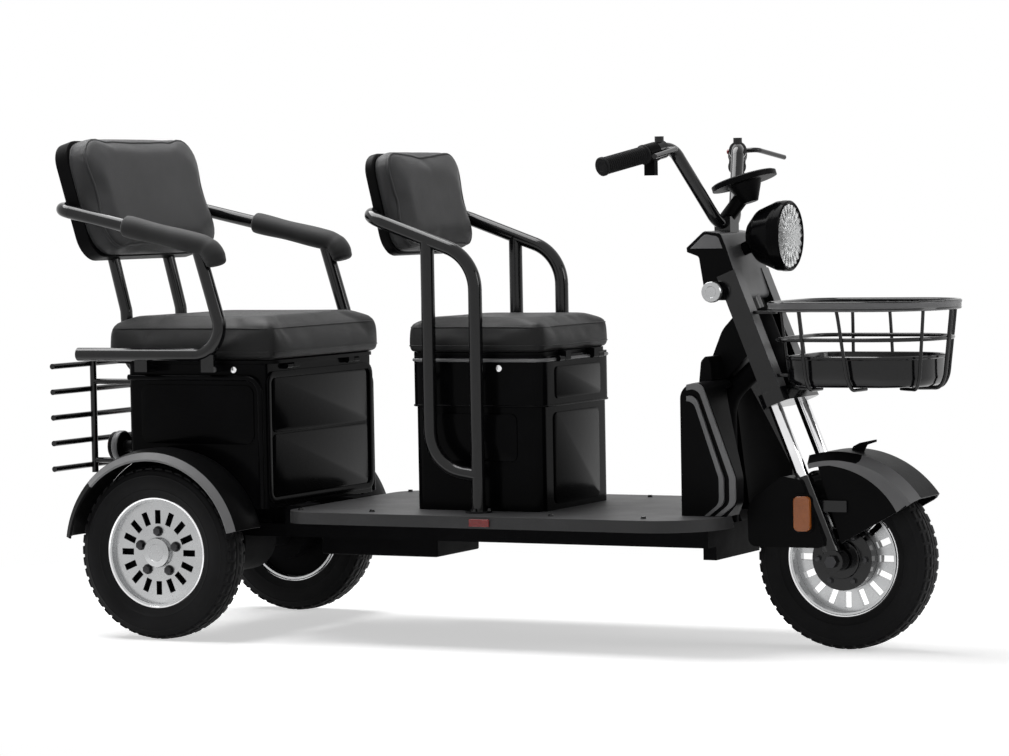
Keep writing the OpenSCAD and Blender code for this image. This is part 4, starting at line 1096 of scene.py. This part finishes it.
class TRICYCLE_OT_arm_sleeves(bpy.types.Operator):
    """Foam sleeves on the rear arms, turned down over the posts at the front"""
    bl_idname = "tricycle.arm_sleeves"
    bl_label = "Arm Sleeves"

    BACK, FRONT, SIDE = Vector((-0.921, 0, 0.890)), Vector((-0.543, 0, 0.805)), 0.266
    LENGTH, TURN = 0.215, 0.028
    RADIUS, WAVE, KNUCKLE = 0.0222, 0.0012, 0.0015
    ROUND = 28
    # Rounded end: share of the ring's size, and how far on it lies
    END = ((0.94, 0.003), (0.78, 0.0062), (0.5, 0.0078))

    def path(self):
        """Points along a sleeve, and its heading at the end"""
        along = (self.FRONT - self.BACK).normalized()
        down = Vector((0.25, 0, -0.97)).normalized()
        start, place = self.FRONT - along * self.LENGTH, self.FRONT - along * self.TURN
        points = [start + along * 0.0005 * k for k in range(2)]
        points += [start + (place - start) * (k / 14) for k in range(1, 15)]
        for k in range(10):
            heading = along.lerp(down, (k + 1) / 10).normalized()
            place = place + heading * 0.0052
            points.append(place)
        return points, heading

    def sleeve(self, points, heading, out):
        """Tube round the points, swollen in waves and closed by a rounded end"""
        across = Vector((0, 1, 0))
        last = len(points) - 1
        bm = bmesh.new()
        rings = []
        for k, point in enumerate(points):
            ahead = (points[min(k + 1, last)] - points[max(k - 1, 0)]).normalized()
            up = ahead.cross(across).normalized()
            share = k / last
            swell = self.RADIUS + self.WAVE * math.sin(share * math.pi * 5) * (1 - share)
            swell += self.KNUCKLE if 0.72 < share < 0.95 else 0
            swell *= 0.86 if k == 0 else 1.0
            rings.append([bm.verts.new(point + out + (across * math.cos(t) + up * math.sin(t)) * swell)
                for t in (math.tau * i / self.ROUND for i in range(self.ROUND))])
        for scale, push in self.END:
            rings.append([bm.verts.new(v.co.lerp(points[-1] + out, 1 - scale) + heading * push) for v in rings[last]])
        quads(bm, rings)
        bm.faces.new(rings[0])
        bm.faces.new(rings[-1])
        bmesh.ops.recalc_face_normals(bm, faces=bm.faces)
        return mesh_from(bm, "sleeve")

    def execute(self, context):
        points, heading = self.path()
        sides = [Vector((0, side * self.SIDE, 0)) for side in (1, -1)]
        obj = joined("arm_sleeves", [self.sleeve(points, heading, out) for out in sides])
        finer = obj.modifiers.new("Finer", "SUBSURF")
        finer.levels = finer.render_levels = 1
        baked(obj)
        obj.data.shade_smooth()
        fit(obj, "chassis", "foam", "foam", "rear_arm_pads")
        return {"FINISHED"}


class TRICYCLE_OT_lamps(bpy.types.Operator):
    """Headlamp with bezel, reflector and fluted lens; signal cups and tail lamp collars"""
    bl_idname = "tricycle.lamps"
    bl_label = "Lamps"

    BEZEL = [(0.0615, -0.004), (0.0635, 0.0015), (0.0665, 0.0035), (0.0695, 0.001), (0.0702, -0.006), (0.0698, -0.012),
        (0.0688, -0.013), (0.0635, -0.0075)]
    MIRROR = [(0.0, -0.0046), (0.012, -0.0046), (0.0125, -0.0044), (0.0605, -0.0042), (0.0612, -0.0052),
        (0.0612, -0.0058), (0.0, -0.0058)]
    COLLAR = [(0.026, 0.0), (0.0315, 0.0), (0.0325, 0.002), (0.0325, 0.012), (0.0312, 0.014), (0.026, 0.014)]
    LENS_RADIUS, LENS_DOME, LENS_BACK = 0.0622, 0.0042, -0.004
    FLUTES, FLUTE_DEPTH = 24, 0.0009
    LENS_RINGS, LENS_STEPS = 12, 144

    def execute(self, context):
        place = Matrix.Translation((0.617, 0, 0.812)) @ Matrix.Rotation(-math.pi / 2, 4, "Z")
        turned("headlamp_bezel", self.BEZEL, 96, True, place, "steering", "gloss_black", "gloss_paint")
        glass = link("headlamp_glass", self.lens())
        smooth(glass.data, 50)
        glass.data.transform(place @ Matrix.Translation((0, 0.0008, 0)))
        fit(glass, "steering", "clear", "clear_lens", "headlamp_lens")
        turned("headlamp_mirror", self.MIRROR, 48, False, place, "steering", "chrome", "alloy")
        self.housings()
        return {"FINISHED"}

    def lens(self):
        """Domed disc about Y with flutes that deepen outward"""
        bm = bmesh.new()
        steps = range(self.LENS_STEPS)
        centre = bm.verts.new((0, self.LENS_DOME, 0))
        rings = []
        for k in range(1, self.LENS_RINGS + 1):
            share = k / self.LENS_RINGS
            r, dome = self.LENS_RADIUS * k / self.LENS_RINGS, self.LENS_DOME * (1 - share ** 2)
            rings.append([bm.verts.new((r * math.cos(t), dome + self.FLUTE_DEPTH * math.cos(self.FLUTES * t) * share,
                r * math.sin(t))) for t in (math.tau * i / self.LENS_STEPS for i in steps)])
        rings.append([bm.verts.new((v.co.x, self.LENS_BACK, v.co.z)) for v in rings[-1]])
        for i in steps:
            bm.faces.new((centre, rings[0][(i + 1) % self.LENS_STEPS], rings[0][i]))
        quads(bm, rings)
        bm.faces.new(rings[-1])
        bmesh.ops.recalc_face_normals(bm, faces=bm.faces)
        return mesh_from(bm, "headlamp_glass")

    def housings(self):
        """Cups round the turn signals and collars round the tail lamps"""
        cups, collars = [], []
        for side in (1, -1):
            points = [(u, side * 0.1035, v) for u, v in rounded_outline((0.6605, 0.2365), (0.7015, 0.3115), 0.012)]
            cups.append(plate(points, (0, side * 0.005, 0), "signal_cup", 0.0015))
            collar = lathe(self.COLLAR, "collar", 48, True)
            collar.transform(Matrix.Translation((-0.816, side * 0.188, 0.39)) @ Matrix.Rotation(math.pi / 2, 4, "Z"))
            collars.append(collar)
        fit(joined("signal_cups", cups), "steering", "satin_black", "satin_plastic")
        piece("tail_collars", collars, 40, "chassis", "satin_black", "pale_trim_and_highlight")


def mirrored(mesh):
    """Mesh turned over to the other side, its faces still outward"""
    mesh.transform(Matrix.Diagonal((1, -1, 1, 1)))
    mesh.flip_normals()
    return mesh


class TRICYCLE_OT_controls(bpy.types.Operator):
    """Handlebar controls: ribbed grips with end caps, the dial's face and switch buttons"""
    bl_idname = "tricycle.controls"
    bl_label = "Controls"

    BAR_END, BAR_CORNER = Vector((0.368, 0.330, 0.953)), Vector((0.440, 0.165, 0.990))
    # Grip: the flange at its inner end, one rib and the gap after it, then the cap at its outer end
    FLANGE = [(0.0, -0.112), (0.0112, -0.112), (0.0185, -0.112), (0.0195, -0.110), (0.0195, -0.106), (0.0172, -0.1045)]
    RIB = ((0.0158, 0.0), (0.0171, 0.0011), (0.0171, 0.0029), (0.0158, 0.0040))
    RIB_START, RIB_PITCH, RIBS = -0.102, 0.0049, 20
    CAP = [(0.0178, -0.0030), (0.0186, -0.0015), (0.0186, 0.0028), (0.0165, 0.0048), (0.009, 0.005), (0.0082, 0.0042),
        (0.0, 0.0042)]
    DIAL_BEZEL = [(0.054, 0.0045), (0.056, 0.0072), (0.0605, 0.0078), (0.0655, 0.0055), (0.0662, 0.002),
        (0.065, 0.0002), (0.054, 0.0002)]
    DIAL_GLASS = [(0.0, 0.0058), (0.03, 0.0056), (0.0545, 0.0050), (0.0545, 0.004), (0.0, 0.004)]
    TICK_RADIUS = 0.047
    BUTTON = [(0.0, 0.0), (0.005, 0.0), (0.005, 0.003), (0.0042, 0.004), (0.0, 0.0042)]

    def execute(self, context):
        along = (self.BAR_END - self.BAR_CORNER).normalized()
        self.grips(along)
        self.dial()
        self.buttons(self.BAR_END - along * 0.126)
        return {"FINISHED"}

    def grips(self, along):
        """Grips along the bar's ends"""
        ribs = [(r, self.RIB_START + self.RIB_PITCH * k + y) for k in range(self.RIBS) for r, y in self.RIB]
        grips = []
        for side in (1, -1):
            grip = lathe(self.FLANGE + ribs + self.CAP, "grip", 48)
            grip.transform(along.to_track_quat("Y", "Z").to_matrix().to_4x4())
            grip.transform(Matrix.Translation(self.BAR_END))
            grips.append(grip if side > 0 else mirrored(grip))
        piece("ribbed_grips", grips, 35, "steering", "tyre", "rubber", "grips")

    def dial(self):
        """Raised bezel, dark glass and a ring of ticks"""
        place = Matrix.Translation((0.522, 0, 0.921)) @ Matrix.Rotation(math.radians(-17), 4, "Y")
        flat = place @ Matrix.Rotation(math.pi / 2, 4, "X")
        turned("dial_bezel", self.DIAL_BEZEL, 96, True, flat, "steering", "satin_black", "satin_plastic")
        turned("dial_glass", self.DIAL_GLASS, 72, False, flat, "steering", "gloss_black", "gloss_paint")
        half_w, half_l = 0.0006, 0.003
        outline = [(-half_w, -half_l, 0), (half_w, -half_l, 0), (half_w, half_l, 0), (-half_w, half_l, 0)]
        tick = plate(outline, (0, 0, 0.0005), "tick", 0.0001, 1)
        tick.transform(Matrix.Rotation(math.pi / 2, 4, "X"))
        ring = ring_repeat("ticks", tick, size_props().dial_ticks, self.TICK_RADIUS, "alloy")
        ticks = link("dial_ticks", ring)
        ticks.data.transform(flat @ Matrix.Translation((0, 0.0056, 0)))
        fit(ticks, "steering", "silver", "alloy")

    def buttons(self, spot):
        """One button on each switch block"""
        buttons = []
        for side in (1, -1):
            button = lathe(self.BUTTON, "button", 24)
            place = Matrix.Translation((spot.x - 0.0185, side * spot.y, spot.z + 0.004))
            button.transform(place @ Matrix.Rotation(math.pi / 2, 4, "Z"))
            buttons.append(button)
        piece("switch_buttons", buttons, 40, "steering", "red", "red_lens")


def rounded_shell(centre, half, radius, front, profile, name, fill=True):
    """Shell round a rounded rectangle with wider front corners, from (outward, height) points of its section"""
    bm = bmesh.new()
    rings = []
    for out, height in profile:
        row = rounded_outline((-half[0] - out, -half[1] - out), (half[0] + out, half[1] + out), radius + out, 12,
            front + out)
        rings.append([bm.verts.new((centre[0] + u, centre[1] + v, centre[2] + height)) for u, v in row])
    quads(bm, rings, not fill)
    if fill:
        bm.faces.new(rings[0])
        bm.faces.new(rings[-1])
    bmesh.ops.recalc_face_normals(bm, faces=bm.faces)
    mesh = mesh_from(bm, name)
    smooth(mesh, 40)
    return mesh


def eased(points, steps=6):
    """Smooth path through points"""
    ends = [points[0] * 2 - points[1]] + points + [points[-1] * 2 - points[-2]]
    path = []
    for a, b, c, d in zip(ends, ends[1:], ends[2:], ends[3:]):
        for k in range(steps):
            t = k / steps
            path.append(0.5 * (2 * b + (c - a) * t + (2 * a - 5 * b + 4 * c - d) * t * t
                + (3 * b - a - 3 * c + d) * t ** 3))
    return path + [points[-1]]


class TRICYCLE_OT_basket(bpy.types.Operator):
    """Basket: a rolled rim band, a wire ring, a pressed tray and ribs that turn under it"""
    bl_idname = "tricycle.basket"
    bl_label = "Basket"

    MID = Vector((0.784, 0, 0))
    HALF, CORNER, NOSE = (0.173, 0.148), 0.062, 0.134
    # Sections of rim and tray: how far out from the outline, and height
    RIM = [(-0.0022, 0.6662), (0.0012, 0.6672), (0.0024, 0.6695), (0.0016, 0.672), (0.0016, 0.678), (0.003, 0.6805),
        (0.003, 0.6835), (0.0008, 0.6858), (-0.0045, 0.6858), (-0.007, 0.6835), (-0.007, 0.6805), (-0.0055, 0.678),
        (-0.0055, 0.672), (-0.0062, 0.6695), (-0.0052, 0.6672)]
    TRAY = [(-0.030, 0.5215), (-0.011, 0.5255), (-0.0058, 0.536), (-0.0045, 0.576), (-0.0035, 0.5788), (0.0, 0.5795),
        (0.0022, 0.578), (0.0022, 0.574), (0.0, 0.572), (-0.001, 0.536), (-0.006, 0.524), (-0.014, 0.5188),
        (-0.030, 0.518)]
    # Ribs: how far in from the rim they lie at each height
    RIB = [(0.0035, 0.679), (0.0055, 0.655), (0.0105, 0.612), (0.016, 0.565), (0.0205, 0.535), (0.032, 0.5165),
        (0.050, 0.5145), (0.085, 0.5145)]
    # Where they stand: top and foot along the sides, place across the back, and angles round the nose's corners
    SIDE_RIBS, BACK_RIB, NOSE_RIBS = ((-0.017, 0.014), (-0.094, -0.078)), 0.047, (37, -8)
    # Stays to the fork: from x to x, at a height
    STAYS = ((0.569, 0.616, 0.661), (0.617, 0.648, 0.538))
    STAY_Y, STAY_HALF, STAY_THICK = 0.07, 0.008, 0.006

    def execute(self, context):
        mid, nose = self.MID, self.NOSE
        parts = [rounded_shell(mid, self.HALF, self.CORNER, nose, self.RIM, "rim", False)]
        outline = rounded_outline((-0.1578, -0.1328), (0.1578, 0.1328), 0.05, 12, nose - 0.0152)
        ring = [(mid.x + u, v, 0.612) for u, v in outline]
        parts.append(tube_curve(ring, size_props().basket_ring, True, name="ring"))
        parts.append(rounded_shell(mid, (0.143, 0.118), 0.046, nose - 0.030, self.TRAY, "tray"))
        for side in (1, -1):
            parts += [tube_curve(eased(path), size_props().basket_wire, name="rib") for path in self.ribs(side)]
        for side in (1, -1):
            low_y, high_y = side * self.STAY_Y - self.STAY_HALF, side * self.STAY_Y + self.STAY_HALF
            for x0, x1, low in self.STAYS:
                points = [(x0, low_y, low), (x1, low_y, low), (x1, high_y, low), (x0, high_y, low)]
                parts.append(plate(points, (0, 0, self.STAY_THICK), "stay", 0.001))
        obj = piece("wire_basket", parts, 45, "steering", "tube_black", "tube_paint", "basket")
        # Painted highlight in pale grey on the inside of the rim, and on its outside above the lower bead
        two_tone(obj, "pale_trim_and_highlight", lambda at, n: at.z > 0.665 and abs(n.z) < 0.5
            and (n.dot(mid - at) > 0.02 or at.z > 0.673))
        return {"FINISHED"}

    def ribs(self, side):
        """Paths of one side's ribs"""
        half_l, half_w = self.HALF
        last = len(self.RIB) - 1
        for top, foot in self.SIDE_RIBS:
            yield [Vector((self.MID.x + top + (foot - top) * k / last, side * (half_w - inset), z))
                for k, (inset, z) in enumerate(self.RIB)]
        yield [Vector((self.MID.x - half_l + inset, side * self.BACK_RIB, z)) for inset, z in self.RIB]
        arc = Vector((self.MID.x + half_l - self.NOSE, side * (half_w - self.NOSE), 0))
        for turn in map(math.radians, self.NOSE_RIBS):
            aim = Vector((math.cos(turn), side * math.sin(turn), 0))
            yield [arc + aim * (self.NOSE - inset) + Vector((0, 0, z)) for inset, z in self.RIB]


def arc_plate(x, low, high, y, lift, name, steps=24):
    """Plate in a wheel's plane between two arcs, each given as (angle, radius) at its ends"""
    arcs = []
    for (a0, r0), (a1, r1) in (low, high):
        row = [(math.radians(a0 + (a1 - a0) * k / steps), r0 + (r1 - r0) * k / steps) for k in range(steps + 1)]
        arcs.append([(x + r * math.cos(t), y, AXLE_Z + r * math.sin(t)) for t, r in row])
    return plate(arcs[0] + arcs[1][::-1], lift, name, 0.0004, 1)


# Rear wheels, each with the side that it is on
REAR_SIDES = (("rear_wheel_right", -1), ("rear_wheel_left", 1))


class TRICYCLE_OT_accents(bpy.types.Operator):
    """Grey wedges and visor sides, liners in the mudguards, drums behind the slots and the lock's cap"""
    bl_idname = "tricycle.accents"
    bl_label = "Accents"

    VISOR = ((0.441, 0.7900), (0.4655, 0.8125), (0.4715, 0.8165), (0.4760, 0.8172), (0.4965, 0.8140), (0.5015, 0.8105),
        (0.5095, 0.7900))
    DRUM = ((0.041, 0.270), (0.1045, 0.270), (0.1045, 0.282), (0.100, 0.286), (0.045, 0.286), (0.041, 0.284))
    LOCK_CAP = [(0.0, 0.0), (0.0195, 0.0), (0.0208, 0.0015), (0.0208, 0.0085), (0.0192, 0.0105), (0.0115, 0.012),
        (0.0105, 0.0108), (0.0, 0.0108)]

    def execute(self, context):
        wedges, liners = [], []
        for side in (1, -1):
            wedges.append(arc_plate(FRONT_X, ((37, 0.162), (92, 0.1855)), ((37, 0.1868), (92, 0.1868)), side * 0.0742,
                (0, side * 0.0008, 0), "wedge"))
            visor = [(x, side * 0.0846, z) for x, z in self.VISOR]
            wedges.append(plate(visor, (0, side * 0.0012, 0), "visor", 0.0005, 1))
            liners.append(arc_plate(REAR_X, ((96, 0.168), (170, 0.168)), ((96, 0.2045), (170, 0.2045)), side * 0.2298,
                (0, side * 0.0025, 0), "liner"))
        fit(joined("grey_accents", wedges), "steering", "satin_black", "pale_trim_and_highlight")
        fit(joined("mudguard_liners", liners), "chassis", "satin_black", "undercoat")
        for body, side in REAR_SIDES:
            profile = [(r, side * y) for r, y in self.DRUM]
            axle = Matrix.Translation((REAR_X, 0, AXLE_Z))
            turned(body + "_drum", profile, 72, True, axle, body, "painted_steel", "undercoat")
        place = Matrix.Translation((0.4965, -0.105, 0.7052)) @ Matrix.Rotation(math.pi, 4, "Z")
        turned("lock_cap", self.LOCK_CAP, 64, False, place, "steering", "chrome", "alloy")
        return {"FINISHED"}


def on_circle(radius, count, start=0.0):
    """Points (u, v) evenly round a circle"""
    return [(radius * math.cos(t), radius * math.sin(t)) for t in (math.tau * k / count + start for k in range(count))]


class TRICYCLE_OT_fasteners(bpy.types.Operator):
    """Wheel bolts with hub caps, front hub bolts and deck bolts"""
    bl_idname = "tricycle.fasteners"
    bl_label = "Fasteners"

    HUB_CAP = [(0.0, 0.0), (0.0305, 0.0), (0.031, 0.002), (0.0295, 0.0048), (0.018, 0.0072), (0.0172, 0.0062),
        (0.0, 0.0066)]
    # Inside this radius a rear wheel shows its cap, and outside its bolts
    CAP_REACH = 0.0325
    DECK_ROW = (-0.365, -0.20, 0.20, 0.40)
    # Height of each head
    WHEEL_HEAD, HUB_HEAD, DECK_HEAD = 0.009, 0.006, 0.0045

    def execute(self, context):
        sizes = size_props()
        for body, side in REAR_SIDES:
            centre = Vector((REAR_X, side * 0.301, AXLE_Z))
            spots = [(centre + Vector((u, 0, v)), (0, side, 0)) for u, v in on_circle(0.044, 5, 0.3)]
            bolts = point_repeat("bolts", hex_bolt(sizes.wheel_bolt, self.WHEEL_HEAD), spots, "steel")
            cap = lathe(self.HUB_CAP, "cap", 64)
            if side < 0:
                mirrored(cap)
            cap.transform(Matrix.Translation(centre + Vector((0, side * 0.0042, 0))))
            obj = piece(body + "_bolts", [bolts, cap], 35, body, "chrome", "alloy")
            two_tone(obj, "steel", lambda at, n: polar(at, REAR_X)[0] > self.CAP_REACH)
        spots = [(Vector((FRONT_X + u, side * 0.036, AXLE_Z + v)), (0, side, 0))
            for side in (1, -1) for u, v in on_circle(0.049, 6)]
        self.bolts("front_hub_bolts", hex_bolt(sizes.hub_bolt, self.HUB_HEAD), spots, "front_wheel", "steel", "steel")
        up = (0, 0, 1)
        spots = []
        for side in (1, -1):
            spots += [(Vector((0.022 + u, side * 0.2 + v, 0.273)), up) for u, v in on_circle(0.0205, 3, 0.5)]
            spots += [(Vector((x, side * 0.238, 0.269)), up) for x in self.DECK_ROW]
        bolt = hex_bolt(sizes.deck_bolt, self.DECK_HEAD)
        self.bolts("deck_bolts", bolt, spots, "chassis", "tube_black", "tube_paint")
        return {"FINISHED"}

    def bolts(self, name, bolt, spots, body, slot, material):
        """One piece out of bolts on spots"""
        obj = link(name, point_repeat(name, bolt, spots, material))
        smooth(obj.data, 35)
        fit(obj, body, slot, material)


class TRICYCLE_OT_stage(bpy.types.Operator):
    """White studio: floor, world, lamps and the camera"""
    bl_idname = "tricycle.stage"
    bl_label = "Stage"

    # Lamps: place, what they point at, and size
    LAMPS = {"overhead": ((-1.2, 0.1, 3.1), (-0.3, 0, 0.5), 2.6), "front": ((4.0, 0.4, 2.0), (0, 0, 0.5), 1.6)}
    # Strength of the world's light, and of the floor's glow for rays that show the background
    FILL, GLOW = 0.08, 0.55
    # Scaled distance from the middle over which the floor turns plain white
    FADE = (0.55, 1.35)
    FLOOR_HALF = 25

    def execute(self, context):
        scene = context.scene
        scene.view_settings.view_transform = "Standard"
        self.camera(scene)
        self.world(scene)
        self.floor()
        powers = {"overhead": stage_props().overhead_power, "front": stage_props().front_power}
        for name, (place, aim, size) in self.LAMPS.items():
            light = bpy.data.lights.new(name, "AREA")
            light.size = size
            light.energy = powers[name]
            lamp = bpy.data.objects.new(name, light)
            lamp.location = place
            lamp.rotation_euler = (Vector(aim) - Vector(place)).to_track_quat("-Z", "Y").to_euler()
            scene.collection.objects.link(lamp)
        return {"FINISHED"}

    def camera(self, scene):
        """Camera where the photo was taken from"""
        values = stage_props()
        data = bpy.data.cameras.new("photo_camera")
        data.sensor_width = SENSOR_MM
        data.lens = values.focal_pixels / PHOTO_W * SENSOR_MM
        data.clip_end = 60
        cam = bpy.data.objects.new("photo_camera", data)
        aim = Vector(values.camera_aim).to_track_quat("-Z", "Y").to_matrix()
        turn = aim @ Matrix.Rotation(values.camera_roll, 3, "Z")
        cam.matrix_world = Matrix.Translation(values.camera_place) @ turn.to_4x4()
        scene.collection.objects.link(cam)
        scene.camera = cam

    def seen(self, tree):
        """1 for rays that show the background: camera, glossy and transmitted ones"""
        path = tree.nodes.new("ShaderNodeLightPath")
        total = path.outputs["Is Camera Ray"]
        for ray in ("Is Glossy Ray", "Is Transmission Ray"):
            most = tree.nodes.new("ShaderNodeMath")
            most.operation = "MAXIMUM"
            tree.links.new(total, most.inputs[0])
            tree.links.new(path.outputs[ray], most.inputs[1])
            total = most.outputs[0]
        return total

    def world(self, scene):
        """Dim white light all round, seen as plain white"""
        world = bpy.data.worlds.new("studio")
        world.use_nodes = True
        scene.world = world
        tree = world.node_tree
        back = tree.nodes["Background"]
        back.inputs["Color"].default_value = (1, 1, 1, 1)
        tree.links.new(spread(tree, self.seen(tree), self.FILL, 1.0), back.inputs["Strength"])

    def floor(self):
        """White floor that keeps the shadow near the tricycle"""
        mat = bpy.data.materials.new("floor_white")
        mat.use_nodes = True
        tree = mat.node_tree
        shader = tree.nodes["Principled BSDF"]
        shader.inputs["Base Color"].default_value = (0.86, 0.86, 0.86, 1)
        shader.inputs["Roughness"].default_value = 0.9
        shader.inputs["Specular IOR Level"].default_value = 0.0
        shader.inputs["Emission Color"].default_value = (1, 1, 1, 1)
        tree.links.new(spread(tree, self.seen(tree), 0.0, self.GLOW), shader.inputs["Emission Strength"])
        # Away from the tricycle the floor turns into plain white, so no horizon shows
        bare = tree.nodes.new("ShaderNodeEmission")
        far = tree.nodes.new("ShaderNodeVectorMath")
        far.operation = "LENGTH"
        tree.links.new(object_coords(tree, (0.6, 0.8, 1)), far.inputs[0])
        fade = tree.nodes.new("ShaderNodeMapRange")
        fade.interpolation_type = "SMOOTHSTEP"
        fade.inputs["From Min"].default_value = self.FADE[0]
        fade.inputs["From Max"].default_value = self.FADE[1]
        tree.links.new(far.outputs["Value"], fade.inputs["Value"])
        share = tree.nodes.new("ShaderNodeMath")
        share.operation = "MULTIPLY"
        tree.links.new(fade.outputs["Result"], share.inputs[0])
        tree.links.new(self.seen(tree), share.inputs[1])
        mixed = tree.nodes.new("ShaderNodeMixShader")
        tree.links.new(share.outputs[0], mixed.inputs["Fac"])
        tree.links.new(shader.outputs["BSDF"], mixed.inputs[1])
        tree.links.new(bare.outputs["Emission"], mixed.inputs[2])
        tree.links.new(mixed.outputs["Shader"], tree.nodes["Material Output"].inputs["Surface"])
        bm = bmesh.new()
        bmesh.ops.create_grid(bm, x_segments=1, y_segments=1, size=self.FLOOR_HALF)
        ground = link("floor", mesh_from(bm, "floor"))
        ground.data.materials.append(mat)


class TRICYCLE_PT_panel(bpy.types.Panel):
    """Steps and settings of the tricycle"""
    bl_idname = "TRICYCLE_PT_panel"
    bl_label = "Electric Tricycle"
    bl_space_type = "VIEW_3D"
    bl_region_type = "UI"
    bl_category = "Tricycle"

    def draw(self, context):
        for group in (finish_props(), size_props(), stage_props()):
            for key in group.bl_rna.properties.keys():
                if key not in ("rna_type", "name"):
                    self.layout.prop(group, key)
        for step in STEPS:
            self.layout.operator(step.bl_idname)


STEPS = (TRICYCLE_OT_stage, TRICYCLE_OT_tubes, TRICYCLE_OT_panels, TRICYCLE_OT_cushions, TRICYCLE_OT_backrests,
    TRICYCLE_OT_arm_sleeves, TRICYCLE_OT_tyres, TRICYCLE_OT_rims, TRICYCLE_OT_bin_trim, TRICYCLE_OT_lamps,
    TRICYCLE_OT_controls, TRICYCLE_OT_basket, TRICYCLE_OT_accents, TRICYCLE_OT_fasteners)
CLASSES = (TricycleFinish, TricycleSizes, TricycleStage, *STEPS, TRICYCLE_PT_panel)


def register():
    for cls in CLASSES:
        bpy.utils.register_class(cls)
    bpy.types.Scene.tricycle_finish = bpy.props.PointerProperty(type=TricycleFinish)
    bpy.types.Scene.tricycle_sizes = bpy.props.PointerProperty(type=TricycleSizes)
    bpy.types.Scene.tricycle_stage = bpy.props.PointerProperty(type=TricycleStage)


def unregister():
    del bpy.types.Scene.tricycle_stage
    del bpy.types.Scene.tricycle_sizes
    del bpy.types.Scene.tricycle_finish
    for cls in reversed(CLASSES):
        bpy.utils.unregister_class(cls)


def main():
    register()
    for step in STEPS:
        group, name = step.bl_idname.split(".")
        getattr(getattr(bpy.ops, group), name)()


if __name__ == "__main__":
    main()
